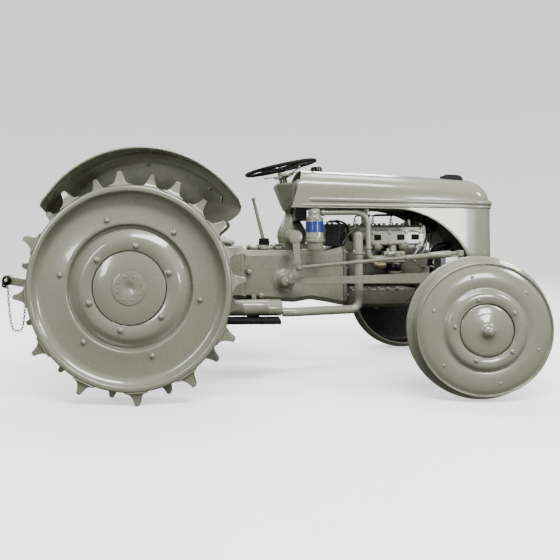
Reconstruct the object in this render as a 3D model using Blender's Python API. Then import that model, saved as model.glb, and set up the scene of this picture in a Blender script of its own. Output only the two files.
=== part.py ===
"""Vintage farm tractor on lugged steel wheels, built in metres.

+X is forward, +Y is the driver's left and +Z is up.  Every shape below is
written with X measured from the rear axle and Z from the ground, and hangs
from the empty "tractor", which puts the origin under the middle of the length.
"""

import math

import bmesh
import bpy
from mathutils import Matrix, Vector

# ------------------------------------------------------------ driving sizes
GAP = 0.0003                     # running gap left between pieces that touch

WHEELBASE = 1.778

# Rear wheel: a steel drum with two rows of lugs, staggered by half a pitch.
REAR_TRACK = 1.320               # centre to centre of the two drums
REAR_RIM_R = 0.520
REAR_RIM_WIDTH = 0.205
REAR_RIM_WALL = 0.012
LUG_HEIGHT = 0.075
LUG_COUNT = 12                   # in each row
LUG_BASE = 0.100                 # along the rim
LUG_TIP = 0.032
LUG_WIDTH = 0.080                # across the rim

# Front wheel: a steel wheel with a skid ring round the middle.
FRONT_R = 0.365
FRONT_TRACK = 1.246              # centre to centre of the two skid rings
FRONT_RIM_R = 0.337

# Front axle and steering.
KINGPIN_Y = 0.530
KINGPIN_R = 0.018
AXLE_BEAM_Z = 0.600
STEER_ARM = 0.120                # kingpin to steering ball
DROP_PIVOT = Vector((0.902, 0.245, 0.831))
DROP_BALL = Vector((0.913, 0.283, 0.655))
COLUMN_LEAN = math.radians(11.0)
STEERING_WHEEL = Vector((0.845, 0.0, 1.262))
STEERING_WHEEL_R = 0.220

# Chassis castings.
DIFF_FLANGE_X = 0.580            # axle housing meets gearbox
CLUTCH_FLANGE_X = 1.190          # gearbox meets engine
CASE_TOP = 0.752
CASE_BOTTOM = 0.432
ENGINE_FRONT_X = 1.700
ENGINE_HALF_WIDTH = 0.125
PAN_TOP = 0.530
HEAD_TOP = 0.895

# Hood: a pressed shell, carried on a cross tube in its nose and bolted down at the rear.
HOOD_REAR_X = 0.880              # at its lower edge
HOOD_REAR_SLOPE = 0.32           # forward run of the rear edge for each metre up
HOOD_NOSE_X = 2.045
HOOD_HALF_WIDTH = 0.262
HOOD_SKIN = 0.005
HOOD_EDGE_Z = 1.006              # lower edge at the rear
HOOD_NOSE_BOTTOM = 0.700
NOSE_TUBE_X = 1.985
NOSE_TUBE_Z = 0.735
NOSE_TUBE_R = 0.011

# Fenders: an arc over each rear wheel.
FENDER_CENTRE = (0.058, 0.708)
FENDER_R = 0.600
FENDER_INNER_Y = 0.485
FENDER_OUTER_Y = 0.735
FENDER_SHEET = 0.006

# Rear linkage.
LIFT_SHAFT = (-0.020, 0.840)     # X, Z
LIFT_SHAFT_R = 0.022
LIFT_ARM_END = (-0.290, 0.815)
LIFT_ARM_Y = 0.175
LINK_PIVOT = Vector((0.120, 0.250, 0.420))
LINK_END = Vector((-0.740, 0.420, 0.611))
LINK_PIN_R = 0.012
LINK_EYE_R = 0.030
ROD_FOOT = Vector((-0.320, 0.298, 0.518))

# ------------------------------------------------------- sizes that follow
LUG_TIP_R = REAR_RIM_R + LUG_HEIGHT
HALF_STAGGER = math.pi / LUG_COUNT / 2
REAR_AXLE_Z = LUG_TIP_R * math.cos(HALF_STAGGER) + LUG_TIP / 2 * math.sin(HALF_STAGGER)
REAR_OUTER_Y = (REAR_TRACK + REAR_RIM_WIDTH) / 2
REAR_INNER_Y = (REAR_TRACK - REAR_RIM_WIDTH) / 2
FRONT_SKID_Y = FRONT_TRACK / 2
TRACTOR_X = -(WHEELBASE + FRONT_R + LINK_END.x - LINK_EYE_R) / 2
SIDES = {"right": -1, "left": 1}

# Places and sizes that neighbouring pieces share.
GEAR_LEVER_X = 0.735
COLUMN_R = 0.026
DASH_FRONT_X = 0.900
DROP_DISC = 0.018
DROP_PIN_R = 0.009
DRAG_EYE_Z = 0.737
ROD_BALL = Vector((0.841, 0.0, 0.572))
ROD_SEAT_Y = 0.200
ENGINE_FLANGE_END = CLUTCH_FLANGE_X + 0.025
BEAM_HALF = 0.026
BEAM_CLEAR = 0.008
AXLE_PIN_Z = AXLE_BEAM_Z - 0.012
PIVOT_PIN_R = 0.018
BOSS_BOTTOM = AXLE_BEAM_Z - 0.045
BOSS_TOP = AXLE_BEAM_Z + 0.050
SPINDLE_R = 0.022
SPINDLE_END = FRONT_SKID_Y + 0.045
HUB_INNER_Y = KINGPIN_Y + 0.034
RADIATOR_REAR_X = 1.840
RADIATOR_FRONT_X = 1.915
RADIATOR_FOOT = 0.730
HOUSING_TOP = 0.780
TRUMPET_R = 0.070
TRUMPET_TOP = REAR_AXLE_Z + TRUMPET_R + GAP
BRAKE_R = 0.165
BRAKE_INNER_Y = FENDER_INNER_Y + FENDER_SHEET + 0.008
BRAKE_OUTER_Y = REAR_INNER_Y - 0.012
REAR_LIP_R = 0.488
EXHAUST_X = 1.268
EXHAUST_Y = -0.232
EXHAUST_JOINT_Z = 0.728
EXHAUST_RUN_Z = 0.405
MUFFLER_FRONT_X = 0.810
MUFFLER_Y = -0.330
MUFFLER_Z = 0.432
MUFFLER_R = 0.046
CARB_REAR_X = 1.425
AIR_X = 1.016
AIR_Y = -0.232
AIR_NECK_R = 0.036
AIR_PIPE_X = 1.327               # its upright stretch
AIR_PIPE_R = 0.016
MANIFOLD_Y = -0.160
SEAT_X = 0.100
SEAT_Z = 1.000
SEAT_SHEET = 0.005
SPRING_THICK = 0.010
STEP_Z = 0.382
HOOD_NOSE_TUCK = 0.003
NOSE_TUBE_CLEAR = 0.0021
GRILLE_HALF = 0.205
GRILLE_LOW = 0.735
GRILLE_HIGH = 0.975

# -------------------------------------------------------------- materials
# name: (red, green, blue, roughness, metallic)
PAINTS = {
    "paint": (0.300, 0.300, 0.250, 0.30, 0.0),
    "black": (0.010, 0.010, 0.011, 0.45, 0.0),
    "dark_steel": (0.060, 0.060, 0.055, 0.60, 0.5),
}


def paint(name, finish):
    """A material of its own for the node called name."""
    red, green, blue, roughness, metallic = PAINTS[finish]
    material = bpy.data.materials.new(name)
    material.use_nodes = True
    shader = material.node_tree.nodes["Principled BSDF"]
    shader.inputs["Base Color"].default_value = (red, green, blue, 1.0)
    shader.inputs["Roughness"].default_value = roughness
    shader.inputs["Metallic"].default_value = metallic
    return material


# ----------------------------------------------------------- basic shapes
def shape(name, points, faces):
    """A closed mesh object in tractor coordinates, with its faces pointing out."""
    work = bmesh.new()
    corners = [work.verts.new(point) for point in points]
    for face in faces:
        work.faces.new([corners[index] for index in face])
    bmesh.ops.remove_doubles(work, verts=work.verts, dist=1e-6)
    bmesh.ops.recalc_face_normals(work, faces=work.faces)
    mesh = bpy.data.meshes.new(name)
    work.to_mesh(mesh)
    work.free()
    made = bpy.data.objects.new(name, mesh)
    bpy.context.scene.collection.objects.link(made)
    made.parent = TRACTOR
    return made


def loft(name, loops):
    """Skin a row of loops that have the same number of points, and cap both ends."""
    count = len(loops[0])
    points = [point for loop in loops for point in loop]
    faces = [list(range(count)), list(range(len(points) - count, len(points)))]
    for row in range(len(loops) - 1):
        for index in range(count):
            after = (index + 1) % count
            start = row * count
            faces.append([start + index, start + after,
                          start + count + after, start + count + index])
    return shape(name, points, faces)


def box(name, low, high):
    loops = [[(x, low[1], low[2]), (x, high[1], low[2]), (x, high[1], high[2]), (x, low[1], high[2])]
             for x in (low[0], high[0])]
    return loft(name, loops)


def section(x, half_width, bottom, top, chamfer, y=0.0):
    """An upright rectangle across the tractor at x, with its corners cut off."""
    left, right = y + half_width, y - half_width
    return [(x, right + chamfer, bottom), (x, left - chamfer, bottom),
            (x, left, bottom + chamfer), (x, left, top - chamfer),
            (x, left - chamfer, top), (x, right + chamfer, top),
            (x, right, top - chamfer), (x, right, bottom + chamfer)]


AXES = {
    "X": (Vector((1, 0, 0)), Vector((0, 1, 0)), Vector((0, 0, 1))),
    "Y": (Vector((0, 1, 0)), Vector((1, 0, 0)), Vector((0, 0, 1))),
    "Z": (Vector((0, 0, 1)), Vector((1, 0, 0)), Vector((0, 1, 0))),
}


def turned(name, centre, axis, profile, sides=24, side=1):
    """Turn a profile of (radius, distance along the axis) about an axis.

    A profile that starts and ends on the axis makes a solid of revolution,
    and one that stays off it is closed into a ring.
    """
    along, across, up = AXES[axis]
    centre = Vector(centre)
    solid = profile[0][0] == 0 and profile[-1][0] == 0
    rings = profile[1:-1] if solid else profile
    points = []
    for radius, distance in rings:
        for step in range(sides):
            angle = 2 * math.pi * step / sides
            spoke = across * math.cos(angle) + up * math.sin(angle)
            points.append(centre + along * distance * side + spoke * radius)
    faces = []
    pairs = len(rings) - 1 if solid else len(rings)
    for row in range(pairs):
        below = row * sides
        above = (row + 1) % len(rings) * sides
        for step in range(sides):
            after = (step + 1) % sides
            faces.append([below + step, below + after, above + after, above + step])
    if solid:
        for row, end in ((0, profile[0]), (len(rings) - 1, profile[-1])):
            hub = len(points)
            points.append(centre + along * end[1] * side)
            for step in range(sides):
                after = (step + 1) % sides
                faces.append([row * sides + step, row * sides + after, hub])
    return shape(name, points, faces)


def rod(name, start, end, radius, sides=12, end_radius=None):
    """A round bar, tapered when end_radius is given."""
    return tube(name, [start, end], radius, sides, end_radius)


def tube(name, path, radius, sides=12, end_radius=None):
    """A round bar swept along a path."""
    path = [Vector(point) for point in path]
    last = len(path) - 1
    across = None
    loops = []
    for index, point in enumerate(path):
        forward = path[min(index + 1, last)] - path[max(index - 1, 0)]
        forward.normalize()
        if across is None:
            across = forward.orthogonal().normalized()
        across = (across - forward * across.dot(forward)).normalized()
        up = forward.cross(across)
        here = radius if end_radius is None else radius + (end_radius - radius) * index / last
        loops.append([point + (across * math.cos(2 * math.pi * step / sides)
                               + up * math.sin(2 * math.pi * step / sides)) * here
                      for step in range(sides)])
    return loft(name, loops)


def rounded(corners, radius, steps=4):
    """The path through corners with each inner corner replaced by a bend."""
    corners = [Vector(corner) for corner in corners]
    path = [corners[0]]
    for before, corner, after in zip(corners, corners[1:], corners[2:]):
        arrive = corner + (before - corner).normalized() * radius
        leave = corner + (after - corner).normalized() * radius
        for step in range(steps + 1):
            share = step / steps
            path.append(arrive * (1 - share) ** 2 + corner * 2 * share * (1 - share)
                        + leave * share ** 2)
    path.append(corners[-1])
    return path


def plate(name, outline, near, far):
    """An outline of (x, z) points given a thickness from y = near to y = far."""
    return loft(name, [[(x, y, z) for x, z in outline] for y in (near, far)])


def arc(centre, radius, start, end, steps, squash=1.0):
    """Points of (x, z) along an arc, angles in degrees from +X towards +Z."""
    points = []
    for step in range(steps + 1):
        angle = math.radians(start + (end - start) * step / steps)
        points.append((centre[0] + radius * math.cos(angle),
                       centre[1] + radius * squash * math.sin(angle)))
    return points


# --------------------------------------------------- joining and finishing
def change(body, operation, tools):
    for tool in tools:
        tool.hide_render = True
        tool.display_type = "WIRE"
        modifier = body.modifiers.new(tool.name, "BOOLEAN")
        modifier.operation = operation
        modifier.object = tool
        modifier.solver = "EXACT"


def fuse(body, *tools):
    change(body, "UNION", tools)


def cut(body, *tools):
    change(body, "DIFFERENCE", tools)


def finish(body, finish_name="paint", pivot=None):
    """Give a node its material, smooth its round faces and set its origin."""
    body.data.materials.append(paint(body.name, finish_name))
    body.data.shade_smooth()
    body.data.set_sharp_from_angle(angle=math.radians(35))
    if pivot is not None:
        pivot = Vector(pivot)
        body.data.transform(Matrix.Translation(-pivot))
        body.location = pivot


def at_side(point, side):
    """The same point on the given side of the tractor."""
    return Vector((point[0], abs(point[1]) * side, point[2]))


# ---------------------------------------------------------------- castings
def gearbox():
    # x, half width, bottom, top
    stations = ((DIFF_FLANGE_X + 0.018, 0.148, CASE_BOTTOM + 0.020, CASE_TOP),
                (0.900, 0.148, CASE_BOTTOM, CASE_TOP),
                (1.000, 0.126, CASE_BOTTOM + 0.014, 0.742),
                (1.100, 0.150, CASE_BOTTOM, 0.752),
                (CLUTCH_FLANGE_X, 0.172, 0.415, 0.772))
    case = loft("transmission_case", [section(x, half, low, high, 0.030)
                                      for x, half, low, high in stations])
    flange = loft("case_rear_flange", [section(x, 0.172, 0.446, 0.772, 0.035)
                                       for x in (DIFF_FLANGE_X, DIFF_FLANGE_X + 0.022)])
    bosses = [turned(f"rod_boss_{word}", (ROD_BALL.x, 0, ROD_BALL.z), "Y",
                     ((0, 0.05), (0.075, 0.05), (0.070, 0.150), (0.036, ROD_SEAT_Y), (0, ROD_SEAT_Y)),
                     16, side)
              for word, side in SIDES.items()]
    fuse(case, flange, *bosses)
    finish(case)


def gear_cover():
    outline_rear = [(x, z) for x, z in arc((0.700, 0.0), 0.078, 90, 270, 6)]
    plan = outline_rear + [(1.085, -0.100), (1.085, 0.100)]
    top = CASE_TOP + 0.018
    cover = loft("gear_cover", [[(x, y, z) for x, y in plan] for z in (CASE_TOP + GAP, top)])
    boss = turned("lever_boss", (GEAR_LEVER_X, 0, 0), "Z",
                  ((0, top - 0.010), (0.040, top - 0.010), (0.034, top + 0.012), (0, top + 0.012)), 16)
    fuse(cover, boss)
    finish(cover)


def gear_lever():
    foot = CASE_TOP + 0.030 + GAP
    boot = turned("gear_lever", (GEAR_LEVER_X, 0, 0), "Z",
                  ((0, foot), (0.030, foot), (0.036, foot + 0.030), (0.020, foot + 0.038),
                   (0, foot + 0.038)), 12)
    stick = rod("gear_stick", (GEAR_LEVER_X - 0.004, 0, foot + 0.020), (GEAR_LEVER_X - 0.066, 0, 1.076),
                0.009, 8)
    fuse(boot, stick)
    finish(boot)


def column_x(z):
    """Where the steering column's axis is at height z."""
    return STEERING_WHEEL.x + (STEERING_WHEEL.z - z) * math.tan(COLUMN_LEAN)


def steering_housing():
    foot = CASE_TOP + 0.018 + GAP
    # height, distance forward of the column axis, half length, half width
    stations = ((foot, -0.030, 0.108, 0.085), (foot + 0.014, -0.030, 0.108, 0.085),
                (foot + 0.018, -0.025, 0.085, 0.078), (0.830, -0.018, 0.094, 0.095),
                (0.870, -0.010, 0.088, 0.088), (0.910, -0.004, 0.066, 0.062),
                (0.950, 0.0, 0.042, 0.040), (0.985, 0.0, COLUMN_R, COLUMN_R),
                (STEERING_WHEEL.z - 0.0346, 0.0, COLUMN_R, COLUMN_R))
    loops = []
    for z, ahead, half_length, half_width in stations:
        loops.append([(column_x(z) + ahead + half_length * math.cos(2 * math.pi * step / 16),
                       half_width * math.sin(2 * math.pi * step / 16), z)
                      for step in range(16)])
    housing = loft("steering_housing", loops)
    reach = DROP_PIVOT.y - DROP_DISC / 2 - GAP
    shafts = [turned(f"sector_shaft_{word}", (DROP_PIVOT.x, 0, DROP_PIVOT.z), "Y",
                     ((0, 0.03), (0.048, 0.03), (0.045, 0.150), (0.026, 0.165), (0.022, reach), (0, reach)),
                     16, side)
              for word, side in SIDES.items()]
    fuse(housing, *shafts)
    finish(housing)


def dash_panel():
    # height, rear x, half width at the rear, half width at the front
    stations = ((0.992, 0.862, 0.045, 0.060), (1.030, 0.846, 0.060, 0.110),
                (1.145, 0.806, 0.095, 0.185), (1.158, 0.812, 0.095, 0.185))
    loops = [[(rear, -back, z), (DASH_FRONT_X, -front, z), (DASH_FRONT_X, front, z), (rear, back, z)]
             for z, rear, back, front in stations]
    panel = loft("dash_panel", loops)
    bore = rod("dash_bore", (column_x(0.90), 0, 0.90), (column_x(1.25), 0, 1.25), COLUMN_R + GAP * 2, 16)
    cut(panel, bore)
    finish(panel)


def fuel_tank():
    stations = ((0.925, 1.040, 1.175), (1.400, 1.040, 1.160))
    tank = loft("fuel_tank", [section(x, 0.195, low, high, 0.040) for x, low, high in stations])
    post = box("tank_post", (1.350, -0.030, HEAD_TOP + GAP), (1.390, 0.030, 1.060))
    fuse(tank, post)
    finish(tank)


def engine():
    rear = CLUTCH_FLANGE_X + GAP
    block = loft("engine_block", [section(x, ENGINE_HALF_WIDTH, PAN_TOP, HEAD_TOP, 0.012)
                                  for x in (rear + 0.010, ENGINE_FRONT_X)])
    flange = loft("engine_flange", [section(x, 0.172, 0.415, 0.772, 0.030)
                                    for x in (rear, ENGINE_FLANGE_END)])
    fuse(block, flange)
    finish(block)


def oil_pan():
    # x, half width, bottom
    stations = ((ENGINE_FLANGE_END + GAP, 0.135, 0.398), (1.560, 0.130, 0.398), (1.640, 0.100, 0.460))
    pan = loft("oil_pan", [section(x, half, low, PAN_TOP - GAP, 0.022) for x, half, low in stations])
    finish(pan)


def axle_support():
    rear = ENGINE_FRONT_X + GAP
    support = loft("axle_support", [section(x, 0.115, PAN_TOP, 0.730, 0.010)
                                    for x in (rear, rear + 0.020)])
    beam_rear = WHEELBASE - BEAM_HALF - BEAM_CLEAR
    beam_front = WHEELBASE + BEAM_HALF + BEAM_CLEAR
    parts = [box("support_rear_lug", (rear + 0.010, -0.055, 0.555), (beam_rear, 0.055, 0.710)),
             box("support_front_lug", (beam_front, -0.055, 0.555), (beam_front + 0.030, 0.055, 0.710)),
             box("support_shelf", (rear + 0.010, -0.190, 0.700), (RADIATOR_FRONT_X, 0.190, RADIATOR_FOOT)),
             rod("axle_pin", (beam_rear - 0.010, 0, AXLE_PIN_Z), (beam_front + 0.040, 0, AXLE_PIN_Z),
                 PIVOT_PIN_R, 16)]
    for word, side in SIDES.items():
        parts.append(box(f"nose_arm_{word}", (RADIATOR_FRONT_X - 0.020, side * 0.160 - 0.012, 0.712),
                         (NOSE_TUBE_X, side * 0.160 + 0.012, 0.729)))
    reach = HOOD_HALF_WIDTH - HOOD_SKIN - HOOD_NOSE_TUCK - NOSE_TUBE_CLEAR
    parts.append(rod("nose_tube", (NOSE_TUBE_X, -reach, NOSE_TUBE_Z), (NOSE_TUBE_X, reach, NOSE_TUBE_Z),
                     NOSE_TUBE_R, 12))
    fuse(support, *parts)
    finish(support)


def radiator():
    core = loft("radiator", [section(x, 0.195, RADIATOR_FOOT + GAP, 1.110, 0.012)
                             for x in (RADIATOR_REAR_X, RADIATOR_FRONT_X)])
    finish(core, "dark_steel")


def front_axle():
    # y, half height, middle height
    stations = ((-KINGPIN_Y, 0.026, AXLE_BEAM_Z), (-0.20, 0.036, AXLE_BEAM_Z - 0.004),
                (0, 0.046, AXLE_PIN_Z),
                (0.20, 0.036, AXLE_BEAM_Z - 0.004), (KINGPIN_Y, 0.026, AXLE_BEAM_Z))
    loops = [[(WHEELBASE - BEAM_HALF, y, z - half), (WHEELBASE + BEAM_HALF, y, z - half),
              (WHEELBASE + BEAM_HALF, y, z + half), (WHEELBASE - BEAM_HALF, y, z + half)]
             for y, half, z in stations]
    beam = loft("front_axle", loops)
    bosses = []
    bores = [rod("pivot_bore", (WHEELBASE - 0.1, 0, AXLE_PIN_Z), (WHEELBASE + 0.1, 0, AXLE_PIN_Z),
                 PIVOT_PIN_R + GAP * 2, 16)]
    for word, side in SIDES.items():
        bosses.append(turned(f"kingpin_boss_{word}", (WHEELBASE, side * KINGPIN_Y, 0), "Z",
                             ((0, BOSS_BOTTOM), (0.034, BOSS_BOTTOM), (0.034, BOSS_TOP),
                              (0, BOSS_TOP)), 16))
        bores.append(rod(f"kingpin_bore_{word}", (WHEELBASE, side * KINGPIN_Y, 0.5),
                         (WHEELBASE, side * KINGPIN_Y, 0.7), KINGPIN_R + GAP * 2, 16))
    fuse(beam, *bosses)
    cut(beam, *bores)
    finish(beam)


def radius_rods():
    for word, side in SIDES.items():
        start = Vector((ROD_BALL.x, side * (ROD_SEAT_Y + GAP + 0.014), ROD_BALL.z))
        end = Vector((WHEELBASE - BEAM_HALF - GAP, side * 0.455, 0.606))
        # share of the length, half height, half thickness
        stations = ((0.0, 0.012, 0.010), (0.12, 0.016, 0.010), (0.85, 0.028, 0.010), (1.0, 0.020, 0.012))
        loops = []
        for share, half, thick in stations:
            middle = start.lerp(end, share)
            loops.append([(middle.x, middle.y - thick, middle.z - half),
                          (middle.x, middle.y + thick, middle.z - half),
                          (middle.x, middle.y + thick, middle.z + half), (middle.x, middle.y - thick,
                                                                          middle.z + half)])
        bar = loft(f"radius_rod_{word}", loops)
        ball = turned(f"rod_ball_{word}", (ROD_BALL.x, 0, ROD_BALL.z), "Y",
                      ((0, ROD_SEAT_Y + GAP), (0.026, ROD_SEAT_Y + GAP), (0.026, ROD_SEAT_Y + 0.024),
                       (0, ROD_SEAT_Y + 0.034)), 16, side)
        fuse(bar, ball)
        finish(bar)


def rear_axle_housing():
    # x, half width, bottom, top
    stations = ((DIFF_FLANGE_X - GAP, 0.172, 0.446, 0.772), (DIFF_FLANGE_X - 0.020, 0.172, 0.446, 0.772),
                (0.480, 0.150, 0.440, 0.765), (0.200, 0.185, 0.415, HOUSING_TOP),
                (-0.120, 0.180, 0.425, HOUSING_TOP), (-0.180, 0.130, 0.470, 0.740))
    housing = loft("rear_axle_housing", [section(x, half, low, high, 0.040)
                                         for x, half, low, high in stations])
    parts = [turned("pto_boss", (0, 0, 0.560), "X",
                    ((0, -0.150), (0.055, -0.150), (0.050, -0.215), (0, -0.215)), 16)]
    for word, side in SIDES.items():
        profile = ((0, 0.10), (0.135, 0.10), (0.125, 0.200), (0.085, 0.300), (TRUMPET_R, 0.440),
                   (TRUMPET_R, BRAKE_INNER_Y), (BRAKE_R, BRAKE_INNER_Y + 0.010), (BRAKE_R, BRAKE_OUTER_Y),
                   (0, BRAKE_OUTER_Y))
        parts.append(turned(f"trumpet_{word}", (0, 0, REAR_AXLE_Z), "Y", profile, 24, side))
        parts.append(box(f"link_bracket_{word}", (LINK_PIVOT.x - 0.030, side * 0.120, LINK_PIVOT.z - 0.030),
                         (LINK_PIVOT.x + 0.030, side * (LINK_PIVOT.y - 0.030), LINK_PIVOT.z + 0.060)))
        parts.append(rod(f"link_pin_{word}", (LINK_PIVOT.x, side * 0.150, LINK_PIVOT.z),
                         (LINK_PIVOT.x, side * (LINK_PIVOT.y + 0.018), LINK_PIVOT.z), LINK_PIN_R, 12))
    fuse(housing, *parts)
    finish(housing)


def lift_cover():
    # x, half width, top
    stations = ((-0.110, 0.120, 0.870), (0.080, 0.135, 0.880), (0.400, 0.120, 0.860), (0.540, 0.100, 0.810))
    cover = loft("lift_cover", [section(x, half, HOUSING_TOP + GAP, high, 0.025)
                                for x, half, high in stations])
    reach = LIFT_ARM_Y + 0.016
    shaft = rod("lift_shaft", (LIFT_SHAFT[0], -reach, LIFT_SHAFT[1]), (LIFT_SHAFT[0], reach, LIFT_SHAFT[1]),
                LIFT_SHAFT_R, 16)
    fuse(cover, shaft)
    finish(cover)


# -------------------------------------------------------- engine dressing
def exhaust():
    bar = loft("exhaust_manifold", [section(x, 0.034, low, high, 0.010,
                                            y=-(ENGINE_HALF_WIDTH + GAP + 0.034))
                                    for x, low, high in ((1.345, 0.775, 0.858), (1.620, 0.775, 0.858),
                                                         (1.658, 0.790, 0.850))])
    elbow = tube("manifold_elbow", rounded(((1.380, MANIFOLD_Y, 0.828), (EXHAUST_X, MANIFOLD_Y, 0.828),
                                            (EXHAUST_X, EXHAUST_Y, 0.828),
                                            (EXHAUST_X, EXHAUST_Y, EXHAUST_JOINT_Z)), 0.035), 0.026, 12)
    clamp = turned("exhaust_clamp", (EXHAUST_X, EXHAUST_Y, 0), "Z",
                   ((0, EXHAUST_JOINT_Z), (0.038, EXHAUST_JOINT_Z), (0.038, EXHAUST_JOINT_Z + 0.014),
                    (0, EXHAUST_JOINT_Z + 0.014)), 12)
    fuse(bar, elbow, clamp)
    finish(bar)

    route = rounded(((EXHAUST_X, EXHAUST_Y, EXHAUST_JOINT_Z - GAP), (EXHAUST_X, EXHAUST_Y, EXHAUST_RUN_Z),
                     (1.150, -0.252, EXHAUST_RUN_Z), (0.870, MUFFLER_Y, EXHAUST_RUN_Z)), 0.075)
    route.append((MUFFLER_FRONT_X + GAP, MUFFLER_Y, EXHAUST_RUN_Z))
    finish(tube("exhaust_pipe", route, 0.025, 12))

    can = turned("muffler", (0, MUFFLER_Y, MUFFLER_Z), "X",
                 ((0, 0.495), (0.040, 0.495), (MUFFLER_R, 0.507), (MUFFLER_R, MUFFLER_FRONT_X - 0.012),
                  (0.040, MUFFLER_FRONT_X), (0, MUFFLER_FRONT_X)), 20)
    strap = box("muffler_strap", (0.640, MUFFLER_Y + 0.020, MUFFLER_Z - 0.012),
                (0.665, -(0.148 + GAP), MUFFLER_Z + 0.060))
    fuse(can, strap)
    finish(can)


def carburettor():
    inner = -(ENGINE_HALF_WIDTH + GAP)
    body = loft("carburettor", [section(x, 0.040, 0.668, 0.738, 0.010,
                                        y=inner - 0.045) for x in (CARB_REAR_X, 1.545)])
    bowl = turned("carburettor_bowl", (1.495, inner - 0.045, 0), "Z",
                  ((0, 0.605), (0.030, 0.605), (0.038, 0.620), (0.038, 0.680), (0, 0.680)), 16)
    neck = rod("carburettor_neck", (1.485, inner - 0.040, 0.720), (1.485, inner - 0.040, 0.775 - GAP),
               0.024, 12)
    fuse(body, bowl, neck)
    finish(body)


def air_cleaner():
    # radius, height
    profile = ((0, 0.750), (0.044, 0.750), (0.048, 0.758), (0.048, 0.800), (0.058, 0.803), (0.058, 0.817),
               (0.051, 0.820), (0.051, 0.930), (AIR_NECK_R, 0.950), (AIR_NECK_R, 0.996), (0, 0.996))
    can = turned("air_cleaner", (AIR_X, AIR_Y, 0), "Z", profile, 20)
    bracket = tube("cleaner_bracket", ((AIR_X + 0.010, AIR_Y + 0.020, 0.850), (1.060, -0.140, 0.850),
                                       (1.060, -0.085, 0.850), (1.060, -0.085,
                                                                CASE_TOP + 0.018 + GAP)), 0.010, 8)
    fuse(can, bracket)
    finish(can)

    turn_z = 0.780
    route = rounded(((AIR_X + AIR_NECK_R + GAP, AIR_Y, 0.972), (AIR_PIPE_X, AIR_Y, 0.972),
                     (AIR_PIPE_X, AIR_Y, turn_z)), 0.080)
    route += rounded(((AIR_PIPE_X, AIR_Y, turn_z), (AIR_PIPE_X, AIR_Y, 0.700),
                      (CARB_REAR_X - 0.015, AIR_Y + 0.039, 0.700)), 0.045)[1:]
    route.append((CARB_REAR_X - GAP, AIR_Y + 0.039, 0.700))
    finish(tube("air_pipe", route, AIR_PIPE_R, 10))


def battery():
    foot = 0.7698 + GAP
    finish(box("battery", (1.095, -0.150, foot), (1.180, 0.060, 0.905)), "black")


# ------------------------------------------------------------ driver's area
def seat():
    # reach from the seat's middle (rearward, sideways), height above the pan
    rings = ((0.05, 0.05, 0.0), (0.13, 0.14, 0.012), (0.19, 0.20, 0.060), (0.205, 0.225, 0.115))
    steps = 24
    outer, inner = [], []
    for back, wide, rise in rings:
        for loop, shrink, lift in ((outer, 0.0, 0.0), (inner, SEAT_SHEET, SEAT_SHEET)):
            ring = []
            for step in range(steps):
                angle = 2 * math.pi * step / steps
                ahead = math.cos(angle)
                low = rise * (0.45 if ahead > 0.4 else 1.0) + lift
                if rise == rings[-1][2]:
                    low -= lift
                ring.append((SEAT_X + (back - shrink) * ahead, (wide - shrink) * math.sin(angle),
                             SEAT_Z + low))
            loop.append(ring)
    finish(loft("seat", outer + inner[::-1]))

    seat_foot = 0.8666
    spring_path = ((0.395, seat_foot + 0.008), (0.300, seat_foot + 0.010), (0.200, 0.940),
                   (SEAT_X + 0.030, SEAT_Z - 0.014), (SEAT_X - 0.050, SEAT_Z - SPRING_THICK / 2 - GAP))
    loops = []
    for x, z in spring_path:
        loops.append([(x, -0.030, z - SPRING_THICK / 2), (x, 0.030, z - SPRING_THICK / 2),
                      (x, 0.030, z + SPRING_THICK / 2), (x, -0.030, z + SPRING_THICK / 2)])
    spring = loft("seat_spring", loops)
    foot = box("spring_foot", (0.300, -0.040, seat_foot), (0.400, 0.040, seat_foot + 0.016))
    fuse(spring, foot)
    finish(spring)


def pedals():
    # name, x of the pivot, y of the pad
    for name, pivot_x, pad_y in (("clutch_pedal", 0.690, 0.215), ("brake_pedal", 0.765, 0.290)):
        arm = tube(name, rounded(((pivot_x, 0.148 + GAP, 0.520), (pivot_x, pad_y, 0.520),
                                  (pivot_x + 0.030, pad_y, 0.560), (pivot_x + 0.055, pad_y,
                                                                    0.690)), 0.020), 0.010, 8)
        pad = box(f"{name}_pad", (pivot_x + 0.030, pad_y - 0.030, 0.686),
                  (pivot_x + 0.085, pad_y + 0.030, 0.698))
        fuse(arm, pad)
        finish(arm)


def steps():
    for word, side in SIDES.items():
        board = box(f"step_{word}", (0.495, side * 0.330, STEP_Z - 0.022), (0.790, side * 0.470, STEP_Z))
        bracket = box(f"step_bar_{word}", (0.612, side * 0.060, STEP_Z - 0.016),
                      (0.682, side * 0.350, STEP_Z - 0.004))
        post = box(f"step_post_{word}", (0.612, side * 0.060, STEP_Z - 0.008),
                   (0.682, side * 0.100, CASE_BOTTOM + 0.020))
        fuse(board, bracket, post)
        under = loft(f"step_notch_{word}", [section(x, 0.148 + GAP, low - GAP, CASE_TOP, 0.030)
                                            for x, low in ((DIFF_FLANGE_X + 0.018, CASE_BOTTOM + 0.020),
                                                           (0.900, CASE_BOTTOM))])
        cut(board, under)
        finish(board, "black")


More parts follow.
